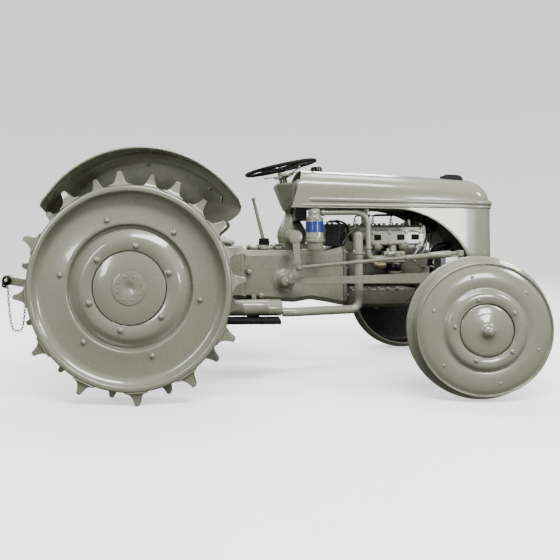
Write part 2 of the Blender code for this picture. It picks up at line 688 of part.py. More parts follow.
def fenders():
    for word, side in SIDES.items():
        lower = ((-0.468, 0.985), (-0.440, 0.935), (-0.150, 0.800), (-0.050, 0.800), (-0.050, TRUMPET_TOP),
                 (0.150, TRUMPET_TOP), (0.150, 0.800), (0.240, 0.800), (0.560, 0.985))
        edge = arc(FENDER_CENTRE, FENDER_R - FENDER_SHEET / 2, 33, 149, 20)
        sheet = plate(f"fender_{word}", list(lower) + edge, side * FENDER_INNER_Y,
                      side * (FENDER_INNER_Y + FENDER_SHEET))
        crown_outline = (arc(FENDER_CENTRE, FENDER_R, 33, 149, 24)
                         + arc(FENDER_CENTRE, FENDER_R - FENDER_SHEET, 149, 33, 24))
        crown = plate(f"fender_crown_{word}", crown_outline, side * FENDER_INNER_Y, side * FENDER_OUTER_Y)
        lip_outline = (arc(FENDER_CENTRE, FENDER_R - 0.001, 34, 148, 24)
                       + arc(FENDER_CENTRE, FENDER_R - 0.022, 148, 34, 24))
        lip = plate(f"fender_lip_{word}", lip_outline, side * (FENDER_OUTER_Y - FENDER_SHEET),
                    side * (FENDER_OUTER_Y - 0.0005))
        fuse(sheet, crown, lip)
        finish(sheet)


# -------------------------------------------------------------------- hood
def hood_loops(skin, front, low):
    """Cross-sections of the hood from the rear edge to the nose, drawn in by skin."""
    # x, top height, half width
    stations = ((HOOD_REAR_X, 1.247, HOOD_HALF_WIDTH), (1.300, 1.236, HOOD_HALF_WIDTH),
                (1.700, 1.203, HOOD_HALF_WIDTH), (1.930, 1.172, HOOD_HALF_WIDTH),
                (1.985, 1.150, HOOD_HALF_WIDTH - HOOD_NOSE_TUCK), (2.022, 1.100, 0.252), (front, 1.010,
                                                                                          0.236))
    loops = []
    for index, (x, top, half) in enumerate(stations):
        top -= skin
        half -= skin
        shoulder = min(0.050, (top - 0.960) * 0.5)
        outline = [(half, low), (half, top - shoulder - 0.060), (half - 0.012, top - shoulder),
                   (half - 0.040, top - shoulder * 0.40), (half * 0.55, top - shoulder * 0.08)]
        ring = [(y, z) for y, z in outline] + [(-y, z) for y, z in outline[::-1]]
        lean = HOOD_REAR_SLOPE if index == 0 else 0.0
        loops.append([(x + (z - HOOD_EDGE_Z) * lean, y, z) for y, z in ring])
    return loops


def hood():
    shell = loft("hood", hood_loops(0.0, HOOD_NOSE_X, HOOD_NOSE_BOTTOM))
    inner = hood_loops(HOOD_SKIN, HOOD_NOSE_X - HOOD_SKIN, HOOD_NOSE_BOTTOM - 0.05)
    inner[0] = [(x - 0.40, y, z) for x, y, z in inner[0]]
    hollow = loft("hood_hollow", inner)
    curve = arc((1.450, 0.500), 0.485, 90, -20, 12, 0.490 / 0.485)
    opening = plate("hood_opening", [(0.60, 0.40), (0.60, HOOD_EDGE_Z)] + curve + [(1.90, 0.40)], -0.5, 0.5)
    window = box("grille_window", (HOOD_NOSE_X - 0.10, -GRILLE_HALF, GRILLE_LOW),
                 (HOOD_NOSE_X + 0.05, GRILLE_HALF, GRILLE_HIGH))
    cut(shell, hollow, opening, window)
    finish(shell)

    back = HOOD_NOSE_X - HOOD_SKIN - GAP
    grille = box("grille", (back - 0.010, -GRILLE_HALF - 0.008, GRILLE_LOW - 0.008),
                 (back, GRILLE_HALF + 0.008, GRILLE_HIGH + 0.008))
    finish(grille)


def caps():
    base = 1.1746
    flap = plate("radiator_cap", ((1.885, base), (1.930, 1.205), (1.990, 1.203), (2.000, 1.166),
                                  (1.955, 1.166)), -0.040, 0.040)
    finish(flap, "black")
    cap = turned("fuel_cap", (1.083, 0, 0), "Z",
                 ((0, 1.2404), (0.034, 1.2404), (0.034, 1.256), (0.026, 1.266), (0, 1.268)), 20)
    finish(cap, "black")


# ---------------------------------------------------------------- steering
def steering_wheel():
    hub_low = -0.030
    wheel = turned("steering_wheel", (0, 0, 0), "Z",
                   [(STEERING_WHEEL_R + 0.011 * math.cos(2 * math.pi * step / 8),
                     0.011 * math.sin(2 * math.pi * step / 8)) for step in range(8)], 32)
    hub = turned("wheel_hub", (0, 0, 0), "Z", ((0, hub_low), (0.030, hub_low), (0.030, 0.008), (0, 0.014)),
                 16)
    reach = STEERING_WHEEL_R - 0.003
    spokes = [rod(f"wheel_spoke_{word}", Vector(inner), Vector(outer) * reach, 0.007, 8)
              for word, inner, outer in (("front", (0.012, 0, 0), (1, 0, 0)),
                                         ("rear", (-0.012, 0, 0), (-1, 0, 0)),
                                         ("left", (0, 0.012, 0), (0, 1, 0)), ("right", (0, -0.012, 0),
                                                                              (0, -1, 0)))]
    tilt = Matrix.Rotation(-COLUMN_LEAN, 4, "Y")
    for piece in (wheel, hub, *spokes):
        piece.data.transform(tilt)
        piece.data.transform(Matrix.Translation(STEERING_WHEEL))
    fuse(wheel, hub, *spokes)
    finish(wheel, "black", STEERING_WHEEL)


def drop_arms():
    for word, side in SIDES.items():
        pivot = at_side(DROP_PIVOT, side)
        disc = turned(f"drop_arm_{word}", (DROP_PIVOT.x, 0, DROP_PIVOT.z), "Y",
                      ((0, DROP_PIVOT.y - DROP_DISC / 2), (0.040, DROP_PIVOT.y - DROP_DISC / 2),
                       (0.040, DROP_PIVOT.y + DROP_DISC / 2), (0, DROP_PIVOT.y + DROP_DISC / 2)), 20, side)
        inner, outer = side * (DROP_PIVOT.y - 0.004), side * (DROP_PIVOT.y + 0.010)
        outline = ((DROP_PIVOT.x - 0.022, DROP_PIVOT.z), (DROP_BALL.x - 0.016, DROP_BALL.z),
                   (DROP_BALL.x - 0.010, DROP_BALL.z - 0.016), (DROP_BALL.x + 0.010, DROP_BALL.z - 0.016),
                   (DROP_BALL.x + 0.016, DROP_BALL.z), (DROP_PIVOT.x + 0.022, DROP_PIVOT.z))
        arm = plate(f"drop_blade_{word}", outline, inner, outer)
        pin = rod(f"drop_pin_{word}", (DROP_BALL.x, side * DROP_PIVOT.y, DROP_BALL.z),
                  (DROP_BALL.x, side * (DROP_BALL.y + 0.016), DROP_BALL.z), DROP_PIN_R, 12)
        fuse(disc, arm, pin)
        finish(disc, pivot=pivot)


def drag_links():
    for word, side in SIDES.items():
        rear = at_side(DROP_BALL, side)
        front = Vector((WHEELBASE, side * (KINGPIN_Y - STEER_ARM), DRAG_EYE_Z))
        eye_width = 0.012
        eye = turned(f"drag_link_{word}", (rear.x, rear.y, rear.z), "Y",
                     ((DROP_PIN_R + GAP * 2, -eye_width), (0.022, -eye_width), (0.022, eye_width),
                      (DROP_PIN_R + GAP * 2, eye_width)), 16)
        toward = (front - rear).normalized()
        bar = rod(f"drag_bar_{word}", rear + toward * 0.016, front - toward * 0.004, 0.0105, 10)
        sleeve = rod(f"drag_sleeve_{word}", front - toward * 0.260, front - toward * 0.130, 0.0145, 10)
        cup = turned(f"drag_cup_{word}", (front.x, front.y, 0), "Z",
                     ((0, DRAG_EYE_Z - 0.014), (0.020, DRAG_EYE_Z - 0.014), (0.020, DRAG_EYE_Z + 0.012),
                      (0, DRAG_EYE_Z + 0.016)), 12)
        fuse(eye, bar, sleeve, cup)
        finish(eye, pivot=rear)


def knuckles():
    for word, side in SIDES.items():
        pivot = Vector((WHEELBASE, side * KINGPIN_Y, 0))
        pin = turned(f"knuckle_{word}", pivot, "Z",
                     ((0, FRONT_R - 0.030), (0.026, FRONT_R - 0.030), (0.026, BOSS_BOTTOM - GAP),
                      (KINGPIN_R, BOSS_BOTTOM - GAP), (KINGPIN_R, BOSS_TOP + GAP), (0.028, BOSS_TOP + GAP),
                      (0.028, BOSS_TOP + 0.026), (0, BOSS_TOP + 0.026)), 16)
        spindle = rod(f"spindle_{word}", (WHEELBASE, side * (KINGPIN_Y - 0.010), FRONT_R),
                      (WHEELBASE, side * SPINDLE_END, FRONT_R), SPINDLE_R, 16)
        ball_y = KINGPIN_Y - STEER_ARM
        low = BOSS_TOP + 0.004
        loops = [[(WHEELBASE - half, y * side, low), (WHEELBASE + half, y * side, low),
                  (WHEELBASE + half, y * side, low + 0.018), (WHEELBASE - half, y * side, low + 0.018)]
                 for y, half in ((KINGPIN_Y, 0.022), (ball_y, 0.016), (ball_y - 0.014, 0.010))]
        arm = loft(f"steering_arm_{word}", loops)
        stud = rod(f"steering_stud_{word}", (WHEELBASE, side * ball_y, low + 0.010),
                   (WHEELBASE, side * ball_y, DRAG_EYE_Z - 0.022), 0.009, 10)
        fuse(pin, spindle, arm, stud)
        finish(pin, pivot=(WHEELBASE, side * KINGPIN_Y, FRONT_R))


def front_wheels():
    # radius, distance from the middle of the tractor
    face = FRONT_SKID_Y + 0.077
    back = FRONT_SKID_Y - 0.056
    profile = ((0, face + 0.052), (0.020, face + 0.048), (0.032, face + 0.036), (0.038, face + 0.030),
               (0.130, face + 0.014), (0.193, face + 0.012), (0.208, face), (FRONT_RIM_R - 0.010,
                                                                             face - 0.006),
               (FRONT_RIM_R, face - 0.014), (FRONT_RIM_R, FRONT_SKID_Y + 0.016),
               (FRONT_R, FRONT_SKID_Y + 0.012), (FRONT_R, FRONT_SKID_Y - 0.012),
               (FRONT_RIM_R, FRONT_SKID_Y - 0.016), (FRONT_RIM_R, back), (FRONT_RIM_R - 0.012, back),
               (FRONT_RIM_R - 0.012, face - 0.022), (0.060, face - 0.014), (0.050, face - 0.040),
               (0.050, HUB_INNER_Y), (SPINDLE_R + GAP * 2, HUB_INNER_Y),
               (SPINDLE_R + GAP * 2, SPINDLE_END + GAP), (0, SPINDLE_END + GAP))
    for word, side in SIDES.items():
        wheel = turned(f"front_wheel_{word}", (WHEELBASE, 0, FRONT_R), "Y", profile, 32, side)
        finish(wheel, pivot=(WHEELBASE, side * FRONT_SKID_Y, FRONT_R))


# ------------------------------------------------------------- rear wheels
def lug(angle, y):
    """Corners of one lug: a spade with its root let into the rim."""
    outward = Vector((math.cos(angle), 0, math.sin(angle)))
    along = Vector((-math.sin(angle), 0, math.cos(angle)))
    corners = []
    for radius, half_length, half_width in ((REAR_RIM_R - 0.004, LUG_BASE / 2, LUG_WIDTH / 2),
                                            (LUG_TIP_R, LUG_TIP / 2, LUG_WIDTH / 2 - 0.012)):
        for step_along, step_y in ((-1, -1), (1, -1), (1, 1), (-1, 1)):
            corners.append(outward * radius + along * half_length * step_along
                           + Vector((0, y + half_width * step_y, 0)))
    return corners


def lugs(name, side):
    """Both rows of lugs, with the lowest of each row at the same height."""
    faces, points = [], []
    for row_y, offset in ((REAR_OUTER_Y - LUG_WIDTH / 2 - 0.008, HALF_STAGGER),
                          (REAR_INNER_Y + LUG_WIDTH / 2 + 0.008, -HALF_STAGGER)):
        for index in range(LUG_COUNT):
            start = len(points)
            angle = -math.pi / 2 + offset + 2 * math.pi * index / LUG_COUNT
            points += [corner + Vector((0, 0, REAR_AXLE_Z)) for corner in lug(angle, row_y * side)]
            faces += [[start + corner for corner in face] for face in
                      ((0, 1, 2, 3), (4, 5, 6, 7), (0, 1, 5, 4), (1, 2, 6, 5), (2, 3, 7, 6), (3, 0, 4, 7))]
    return shape(name, points, faces)


def rear_wheels():
    inside = REAR_RIM_R - REAR_RIM_WALL
    rim_profile = ((REAR_RIM_R, REAR_INNER_Y), (REAR_RIM_R, REAR_OUTER_Y), (REAR_LIP_R, REAR_OUTER_Y),
                   (REAR_LIP_R, REAR_OUTER_Y - 0.012), (inside, REAR_OUTER_Y - 0.020), (inside,
                                                                                        REAR_INNER_Y))
    web = REAR_OUTER_Y - 0.058
    thick = 0.010
    disc_profile = ((0, web + 0.014), (0.190, web + 0.014), (0.250, web + 0.012), (0.315, web - 0.014),
                    (0.330, web), (0.455, web), (inside - GAP, web + 0.024), (inside - GAP, web + 0.010),
                    (0.460, web - thick), (0.325, web - thick), (0.312, web - 0.014 - thick),
                    (0.245, web + 0.012 - thick), (0.100, web + 0.012 - thick), (0.060, web - 0.060),
                    (0.055, BRAKE_OUTER_Y + GAP), (0, BRAKE_OUTER_Y + GAP))
    for word, side in SIDES.items():
        pivot = (0, side * REAR_TRACK / 2, REAR_AXLE_Z)
        rim = turned(f"rear_rim_{word}", (0, 0, REAR_AXLE_Z), "Y", rim_profile, 36, side)
        fuse(rim, lugs(f"rim_lugs_{word}", side))
        finish(rim, pivot=pivot)
        disc = turned(f"rear_disc_{word}", (0, 0, REAR_AXLE_Z), "Y", disc_profile, 36, side)
        finish(disc, pivot=pivot)


# ------------------------------------------------------------ rear linkage
def flat_bar(name, start, end, half_height, half_thick):
    """A flat bar between two points, with its thickness across the tractor."""
    loops = []
    for point in (start, end):
        loops.append([(point.x, point.y - half_thick, point.z - half_height),
                      (point.x, point.y + half_thick, point.z - half_height),
                      (point.x, point.y + half_thick, point.z + half_height),
                      (point.x, point.y - half_thick, point.z + half_height)])
    return loft(name, loops)


def eye_disc(name, centre, radius, half_thick):
    return turned(name, centre, "Y", ((0, -half_thick), (radius, -half_thick), (radius, half_thick),
                                      (0, half_thick)), 16)


def bore(name, centre, radius):
    return turned(name, centre, "Y", ((0, -0.05), (radius, -0.05), (radius, 0.05), (0, 0.05)), 16)


def linkage():
    for word, side in SIDES.items():
        shaft = Vector((LIFT_SHAFT[0], side * LIFT_ARM_Y, LIFT_SHAFT[1]))
        tip = Vector((LIFT_ARM_END[0], side * LIFT_ARM_Y, LIFT_ARM_END[1]))
        arm = flat_bar(f"lift_arm_{word}", shaft, tip, 0.022, 0.010)
        head = eye_disc(f"lift_head_{word}", shaft, 0.036, 0.012)
        toe = eye_disc(f"lift_toe_{word}", tip, 0.022, 0.010)
        pin = rod(f"lift_pin_{word}", tip, tip + Vector((0, side * 0.034, 0)), 0.009, 12)
        fuse(arm, head, toe, pin)
        cut(arm, bore(f"lift_bore_{word}", shaft, LIFT_SHAFT_R + GAP * 2))
        finish(arm, pivot=shaft)

        top = tip + Vector((0, side * 0.022, 0))
        foot = at_side(ROD_FOOT, side)
        bar = rod(f"lift_rod_{word}", top + Vector((0, 0, -0.014)), foot + Vector((0, 0, 0.010)), 0.009, 10)
        upper = eye_disc(f"rod_eye_{word}", top, 0.020, 0.009)
        lower = eye_disc(f"rod_foot_{word}", foot, 0.020, 0.009)
        fuse(bar, upper, lower)
        cut(bar, bore(f"rod_bore_{word}", top, 0.009 + GAP * 2))
        finish(bar, pivot=top)

        front = at_side(LINK_PIVOT, side)
        end = at_side(LINK_END, side)
        link = flat_bar(f"lower_link_{word}", front, end, 0.022, 0.010)
        first = eye_disc(f"link_front_eye_{word}", front, LINK_EYE_R, 0.013)
        last = eye_disc(f"link_rear_eye_{word}", end, LINK_EYE_R, 0.013)
        fuse(link, first, last)
        cut(link, bore(f"link_front_bore_{word}", front, LINK_PIN_R + GAP * 2),
            bore(f"link_rear_bore_{word}", end, 0.011))
        finish(link, pivot=front)


def hitch_chain():
    """The check chain that hangs in a loop under the end of the right-hand link."""
    start = Vector((LINK_END.x, -LINK_END.y, LINK_END.z - LINK_EYE_R - GAP))
    end = Vector((LINK_END.x + 0.095, -LINK_END.y + 0.019, LINK_END.z - 0.0447))
    drop = 0.250
    path = []
    for step in range(25):
        share = step / 24
        path.append(start.lerp(end, share) - Vector((0, 0, drop * (1 - (2 * share - 1) ** 4) ** 0.8)))
    chain = tube("hitch_chain", path, 0.006, 8)
    finish(chain, "black", at_side(LINK_PIVOT, -1))


# ------------------------------------------------------------- the tractor
for leftover in list(bpy.data.objects):
    bpy.data.objects.remove(leftover, do_unlink=True)
TRACTOR = bpy.data.objects.new("tractor", None)
TRACTOR.location.x = TRACTOR_X
bpy.context.scene.collection.objects.link(TRACTOR)

gearbox()
gear_cover()
gear_lever()
steering_housing()
dash_panel()
fuel_tank()
engine()
oil_pan()
axle_support()
radiator()
front_axle()
radius_rods()
rear_axle_housing()
lift_cover()
exhaust()
carburettor()
air_cleaner()
battery()
seat()
pedals()
steps()
fenders()
hood()
caps()
steering_wheel()
drop_arms()
drag_links()
knuckles()
front_wheels()
rear_wheels()
linkage()
hitch_chain()
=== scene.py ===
"""Looks of the vintage farm tractor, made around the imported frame.

+X is forward, +Y is the driver's left, +Z is up.  Sizes read from the CAD
boxes keep each detailed piece on the solid that it stands for.
"""

from math import cos, pi, radians, sin, sqrt, tanh

import bmesh
import bpy
from mathutils import Matrix, Vector


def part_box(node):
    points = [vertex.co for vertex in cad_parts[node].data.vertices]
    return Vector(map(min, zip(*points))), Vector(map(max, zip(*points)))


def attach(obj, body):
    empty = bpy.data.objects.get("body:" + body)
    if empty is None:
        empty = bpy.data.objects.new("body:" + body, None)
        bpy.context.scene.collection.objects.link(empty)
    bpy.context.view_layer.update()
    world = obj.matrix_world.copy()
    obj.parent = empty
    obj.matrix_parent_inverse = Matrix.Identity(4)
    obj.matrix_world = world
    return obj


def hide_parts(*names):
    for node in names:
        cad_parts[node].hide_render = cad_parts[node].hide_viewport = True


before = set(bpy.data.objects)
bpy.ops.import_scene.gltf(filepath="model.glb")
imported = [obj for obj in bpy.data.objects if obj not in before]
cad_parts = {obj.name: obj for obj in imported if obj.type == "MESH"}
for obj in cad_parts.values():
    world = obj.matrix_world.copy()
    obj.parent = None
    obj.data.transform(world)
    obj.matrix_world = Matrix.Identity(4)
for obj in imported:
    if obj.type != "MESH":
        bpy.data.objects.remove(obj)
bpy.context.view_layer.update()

SIDES = {"right": -1, "left": 1}
TAU = 2 * pi


def low(node):
    return Vector(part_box(node)[0])


def high(node):
    return Vector(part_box(node)[1])


def middle(node):
    return (low(node) + high(node)) / 2


def span_y(node):
    """How far from the middle plane a node begins and ends, on either side."""
    return sorted((abs(low(node).y), abs(high(node).y)))


REAR_X = middle("rear_rim_right").x


def at(x, y, z):
    """A place given by its distance ahead of the rear axle."""
    return Vector((REAR_X + x, y, z))


# ------------------------------------------------------------------ camera
CAMERA_PLACE = (0.483, -3.489, 0.895)          # ahead of the rear axle, right of centre, up
CAMERA_YAW = radians(2.13)                # turned towards the rear of the tractor
CAMERA_ROLL = radians(0.76)
CAMERA_FOCAL = 0.984                           # focal length over picture width
CAMERA_SHIFT = (0.137, -0.094)                 # share of the picture width


# --------------------------------------------------------------- materials
def new_material(name):
    material = bpy.data.materials.new(name)
    material.use_nodes = True
    return material, material.node_tree, material.node_tree.nodes["Principled BSDF"]


def put(node, **values):
    """Set a node's inputs by name, with _ for a space."""
    for name, value in values.items():
        node.inputs[name.replace("_", " ")].default_value = value
    return node


def new_node(tree, kind, **values):
    return put(tree.nodes.new("ShaderNode" + kind), **values)


def noise(tree, scale, detail):
    """Noise in object space, in lengths of a metre."""
    texture = new_node(tree, "TexNoise", Scale=scale, Detail=detail, Roughness=0.6)
    tree.links.new(new_node(tree, "TexCoord").outputs["Object"], texture.inputs["Vector"])
    return texture.outputs["Fac"]


def ramp(tree, factor, stops):
    node = new_node(tree, "ValToRGB")
    elements = node.color_ramp.elements
    while len(elements) < len(stops):
        elements.new(0.5)
    for element, (position, colour) in zip(elements, stops):
        element.position = position
        element.color = (*colour, 1)
    tree.links.new(factor, node.inputs["Fac"])
    return node.outputs["Color"]


def spread(tree, factor, lowest, highest):
    node = new_node(tree, "MapRange", From_Min=0.3, From_Max=0.7, To_Min=lowest, To_Max=highest)
    tree.links.new(factor, node.inputs["Value"])
    return node.outputs["Result"]


def bumped(tree, factor, strength, distance, below=None):
    node = new_node(tree, "Bump", Strength=strength, Distance=distance)
    tree.links.new(factor, node.inputs["Height"])
    if below:
        tree.links.new(below, node.inputs["Normal"])
    return node.outputs["Normal"]


def shade_the_corners(tree, colour, painted_shade, reach):
    """Painted shade: the colour darkens where surfaces meet, by ambient occlusion."""
    corner = new_node(tree, "AmbientOcclusion", Distance=reach)
    corner.samples = 4
    curve = new_node(tree, "MapRange", From_Min=0.25, From_Max=0.85)
    mix = new_node(tree, "Mix")
    mix.data_type = "RGBA"
    mix.inputs["A"].default_value = (*painted_shade, 1)
    tree.links.new(corner.outputs["AO"], curve.inputs["Value"])
    tree.links.new(curve.outputs["Result"], mix.inputs["Factor"])
    tree.links.new(colour, mix.inputs["B"])
    return mix.outputs["Result"]


def enamel(name, base, shade, painted_shade, roughness, grain, bump, coat, reach=0.05):
    """Brushed or sprayed gloss enamel: faint mottling, orange peel, painted shade in the corners."""
    material, tree, shader = new_material(name)
    colour = ramp(tree, noise(tree, 3.0, 8.0), ((0.3, shade), (0.62, base)))
    # painted shade: darker where surfaces meet
    colour = shade_the_corners(tree, colour, painted_shade, reach)
    tree.links.new(colour, shader.inputs["Base Color"])
    fine = spread(tree, noise(tree, 38.0, 4.0), roughness * 0.75, roughness * 1.35)
    tree.links.new(fine, shader.inputs["Roughness"])
    normal = bumped(tree, noise(tree, 7.0, 2.0), bump * 0.5, 0.003)
    normal = bumped(tree, noise(tree, grain, 3.0), bump, 0.001, normal)
    tree.links.new(normal, shader.inputs["Normal"])
    put(shader, Coat_Weight=coat, Coat_Roughness=0.05)
    if base[1] < 0.02:
        put(shader, Specular_IOR_Level=0.15)
    return material


def bare_metal(name, base, shade, roughness):
    material, tree, shader = new_material(name)
    colour = ramp(tree, noise(tree, 24.0, 6.0), ((0.35, shade), (0.65, base)))
    tree.links.new(colour, shader.inputs["Base Color"])
    fine = spread(tree, noise(tree, 60.0, 4.0), roughness * 0.7, roughness * 1.4)
    tree.links.new(fine, shader.inputs["Roughness"])
    put(shader, Metallic=0.9)
    return material


def radiator_fins():
    """Rows of thin fins across the core."""
    material, tree, shader = new_material("radiator_core")
    wave = new_node(tree, "TexWave", Scale=60.0)
    wave.bands_direction = "Z"
    tree.links.new(new_node(tree, "TexCoord").outputs["Object"], wave.inputs["Vector"])
    colour = ramp(tree, wave.outputs["Fac"], ((0.2, (0.006, 0.006, 0.006)), (0.8, (0.05, 0.05, 0.045))))
    tree.links.new(colour, shader.inputs["Base Color"])
    tree.links.new(bumped(tree, wave.outputs["Fac"], 0.8, 0.003), shader.inputs["Normal"])
    put(shader, Roughness=0.5)
    return material


GREY = (0.212, 0.218, 0.16)
GREY_SHADE = (0.19, 0.196, 0.142)
# The third colour given to each enamel is its painted shade in the corners.
CORNER_SHADE = (0.06, 0.058, 0.04)
SHEET = enamel("sheet_enamel", GREY, GREY_SHADE, (0.08, 0.08, 0.055), 0.22, 160.0, 0.015, 0.8, 0.035)
CAST = enamel("casting_enamel", (0.205, 0.211, 0.154), (0.168, 0.173, 0.124), CORNER_SHADE, 0.28, 300.0, 0.08,
    0.6, 0.025)
# A darker copy of the casting enamel for the engine block and oil pan: painted shade.
SHADED_CAST = enamel("shaded_casting", (0.105, 0.106, 0.076), (0.07, 0.07, 0.048), (0.02, 0.02, 0.014), 0.34, 300.0,
    0.12, 0.3, 0.04)
BLACK = enamel("black_enamel", (0.005, 0.005, 0.0055), (0.003, 0.003, 0.003), (0.001, 0.001, 0.001), 0.3,
    200.0, 0.04, 0.4)
RUBBER = enamel("black_rubber", (0.007, 0.007, 0.007), (0.004, 0.004, 0.004), (0.003, 0.003, 0.003), 0.55,
    340.0, 0.3, 0.0)
BLUE = enamel("blue_band", (0.012, 0.035, 0.19), (0.01, 0.028, 0.15), (0.004, 0.01, 0.06), 0.35, 120.0,
    0.03, 0.3)
STEEL = bare_metal("bright_steel", (0.55, 0.55, 0.53), (0.32, 0.32, 0.3), 0.28)
BRASS = bare_metal("dull_brass", (0.33, 0.27, 0.15), (0.16, 0.13, 0.08), 0.45)
HOLE = enamel("port_shadow", (0.004, 0.004, 0.004), (0.002, 0.002, 0.002), (0.001, 0.001, 0.001), 0.8,
    60.0, 0.1, 0.0)
CORE = radiator_fins()


# ------------------------------------------------------------ mesh building
def add_object(name, data):
    made = bpy.data.objects.new(name, data)
    bpy.context.scene.collection.objects.link(made)
    return made


def start():
    return bmesh.new()


def keep(work, name, material, stands_for=(), body="chassis", bevel=0.0, angle=38, segments=2):
    """Turn a mesh under construction into a finished piece that rides on a body."""
    bmesh.ops.remove_doubles(work, verts=work.verts, dist=1e-6)
    bmesh.ops.recalc_face_normals(work, faces=work.faces)
    mesh = bpy.data.meshes.new(name)
    work.to_mesh(mesh)
    work.free()
    piece = add_object(name, mesh)
    mesh.materials.append(material)
    mesh.shade_smooth()
    mesh.set_sharp_from_angle(angle=radians(angle))
    if bevel:
        edge = piece.modifiers.new("edges", "BEVEL")
        edge.width = bevel
        edge.segments = segments
        edge.limit_method = "ANGLE"
        edge.angle_limit = radians(angle)
        edge.harden_normals = True
    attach(piece, body)
    if stands_for:
        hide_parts(*stands_for)
    return piece


def bridge(work, rows, closed=True):
    """Faces between rows of vertices, each row a ring unless it is open."""
    count = len(rows[0])
    for one, two in zip(rows, rows[1:]):
        for index in range(count if closed else count - 1):
            after = (index + 1) % count
            work.faces.new((one[index], one[after], two[after], two[index]))


def thicken(piece, thickness, offset):
    wall = piece.modifiers.new("sheet", "SOLIDIFY")
    wall.thickness = thickness
    wall.offset = offset


def loft(work, loops, caps=True):
    rows = [[work.verts.new(point) for point in loop] for loop in loops]
    bridge(work, rows)
    if caps:
        work.faces.new(rows[0])
        work.faces.new(rows[-1])


def box(work, lowest, highest):
    loft(work, [[(x, lowest[1], lowest[2]), (x, highest[1], lowest[2]), (x, highest[1], highest[2]),
        (x, lowest[1], highest[2])] for x in (lowest[0], highest[0])])


CORNERS = ((-1, -1), (1, -1), (1, 1), (-1, 1))
AXES = {"X": ((1, 0, 0), (0, 1, 0), (0, 0, 1)), "Y": ((0, 1, 0), (1, 0, 0), (0, 0, 1)),
    "Z": ((0, 0, 1), (1, 0, 0), (0, 1, 0))}


def lathe(work, centre, axis, profile, steps=48, side=1):
    """Turn (radius, distance) points about an axis; a profile off the axis closes into a ring."""
    if isinstance(axis, str):
        along, across, up = (Vector(part) for part in AXES[axis])
    else:
        along = Vector(axis).normalized()
        across = along.orthogonal().normalized()
        up = along.cross(across)
    centre = Vector(centre)
    rings = []
    for radius, distance in profile:
        hub = centre + along * distance * side
        if radius == 0:
            rings.append([work.verts.new(hub)])
            continue
        rings.append([work.verts.new(hub + (across * cos(TAU * step / steps)
            + up * sin(TAU * step / steps)) * radius) for step in range(steps)])
    closed = profile[0][0] != 0
    pairs = list(zip(rings, rings[1:])) + ([(rings[-1], rings[0])] if closed else [])
    for one, two in pairs:
        for step in range(steps):
            after = (step + 1) % steps
            if len(one) == 1:
                work.faces.new((one[0], two[after], two[step]))
            elif len(two) == 1:
                work.faces.new((one[step], one[after], two[0]))
            else:
                work.faces.new((one[step], one[after], two[after], two[step]))


def tube(work, path, radius, sides=16, closed=False):
    """Sweep a circle along a path; radius is a number or one for each point."""
    path = [Vector(point) for point in path]
    count = len(path)
    across = None
    loops = []
    for index, point in enumerate(path):
        if closed:
            forward = path[(index + 1) % count] - path[index - 1]
        else:
            forward = path[min(index + 1, count - 1)] - path[max(index - 1, 0)]
        forward.normalize()
        if across is None:
            across = forward.orthogonal().normalized()
        across = (across - forward * across.dot(forward)).normalized()
        up = forward.cross(across)
        here = radius[index] if isinstance(radius, (list, tuple)) else radius
        loops.append([point + (across * cos(TAU * step / sides) + up * sin(TAU * step / sides)) * here
            for step in range(sides)])
    if closed:
        loft(work, loops + [loops[0]], caps=False)
    else:
        loft(work, loops)


def bend(corners, radius, steps=8):
    """The path through corners, each inner corner rounded."""
    corners = [Vector(corner) for corner in corners]
    path = [corners[0]]
    for before, corner, after in zip(corners, corners[1:], corners[2:]):
        reach = min(radius, (before - corner).length * 0.49, (after - corner).length * 0.49)
        arrive = corner + (before - corner).normalized() * reach
        leave = corner + (after - corner).normalized() * reach
        for step in range(steps + 1):
            share = step / steps
            path.append(arrive * (1 - share) ** 2 + corner * 2 * share * (1 - share) + leave * share ** 2)
    path.append(corners[-1])
    return path


def dome_bolt(work, place, outward, radius, height, steps=16):
    """A round head that stands on a small flat collar."""
    profile = [(radius * 1.25, -radius * 0.4), (radius * 1.25, height * 0.15), (radius, height * 0.22)]
    profile += [(radius * cos(radians(turn)), height * (0.3 + 0.7 * sin(radians(turn))))
        for turn in (20, 45, 70)]
    lathe(work, place, outward, [(0, -radius * 0.4)] + profile + [(0, height)], steps)


def hex_bolt(work, place, outward, radius, height):
    lathe(work, place, outward, ((0, -radius * 0.3), (radius * 1.35, -radius * 0.3),
        (radius * 1.35, height * 0.2), (0, height * 0.2)), 20)
    lathe(work, place, outward, ((0, 0), (radius, 0), (radius, height * 0.85), (radius * 0.8, height),
        (0, height)), 6)


def on_circle(radius, turn, z):
    return Vector((radius * cos(turn), radius * sin(turn), z))


def collar(work, centre, axis, inner, outer, first, last, steps):
    """A ring round an axis, between two radii and two distances."""
    lathe(work, centre, axis, ((inner, first), (outer, first), (outer, last), (inner, last)), steps)


def pushed(base, profile):
    """(radius, distance) points with base added to each distance."""
    return [(radius, base + distance) for radius, distance in profile]


def spot(centre, radius, degrees, y):
    """A place on a wheel's face, by its angle from +X towards +Z."""
    turn = radians(degrees)
    return Vector((centre.x + radius * cos(turn), y, centre.z + radius * sin(turn)))


# -------------------------------------------------------------- rear wheels
RIM_R = 0.52
LIP_R = 0.488
LUG_TIP_R = 0.5925
FRONT_ROW = radians(3.7)      # angle of the outer row past straight down
LUG_COUNT = 12
RING_BOLTS = (107.7, 50.4, -9.9, -72.0, -131.0, 169.0)
HUB_BOLTS = (79.6, 20.6, -41.8, -102.0, -160.0, 138.0)


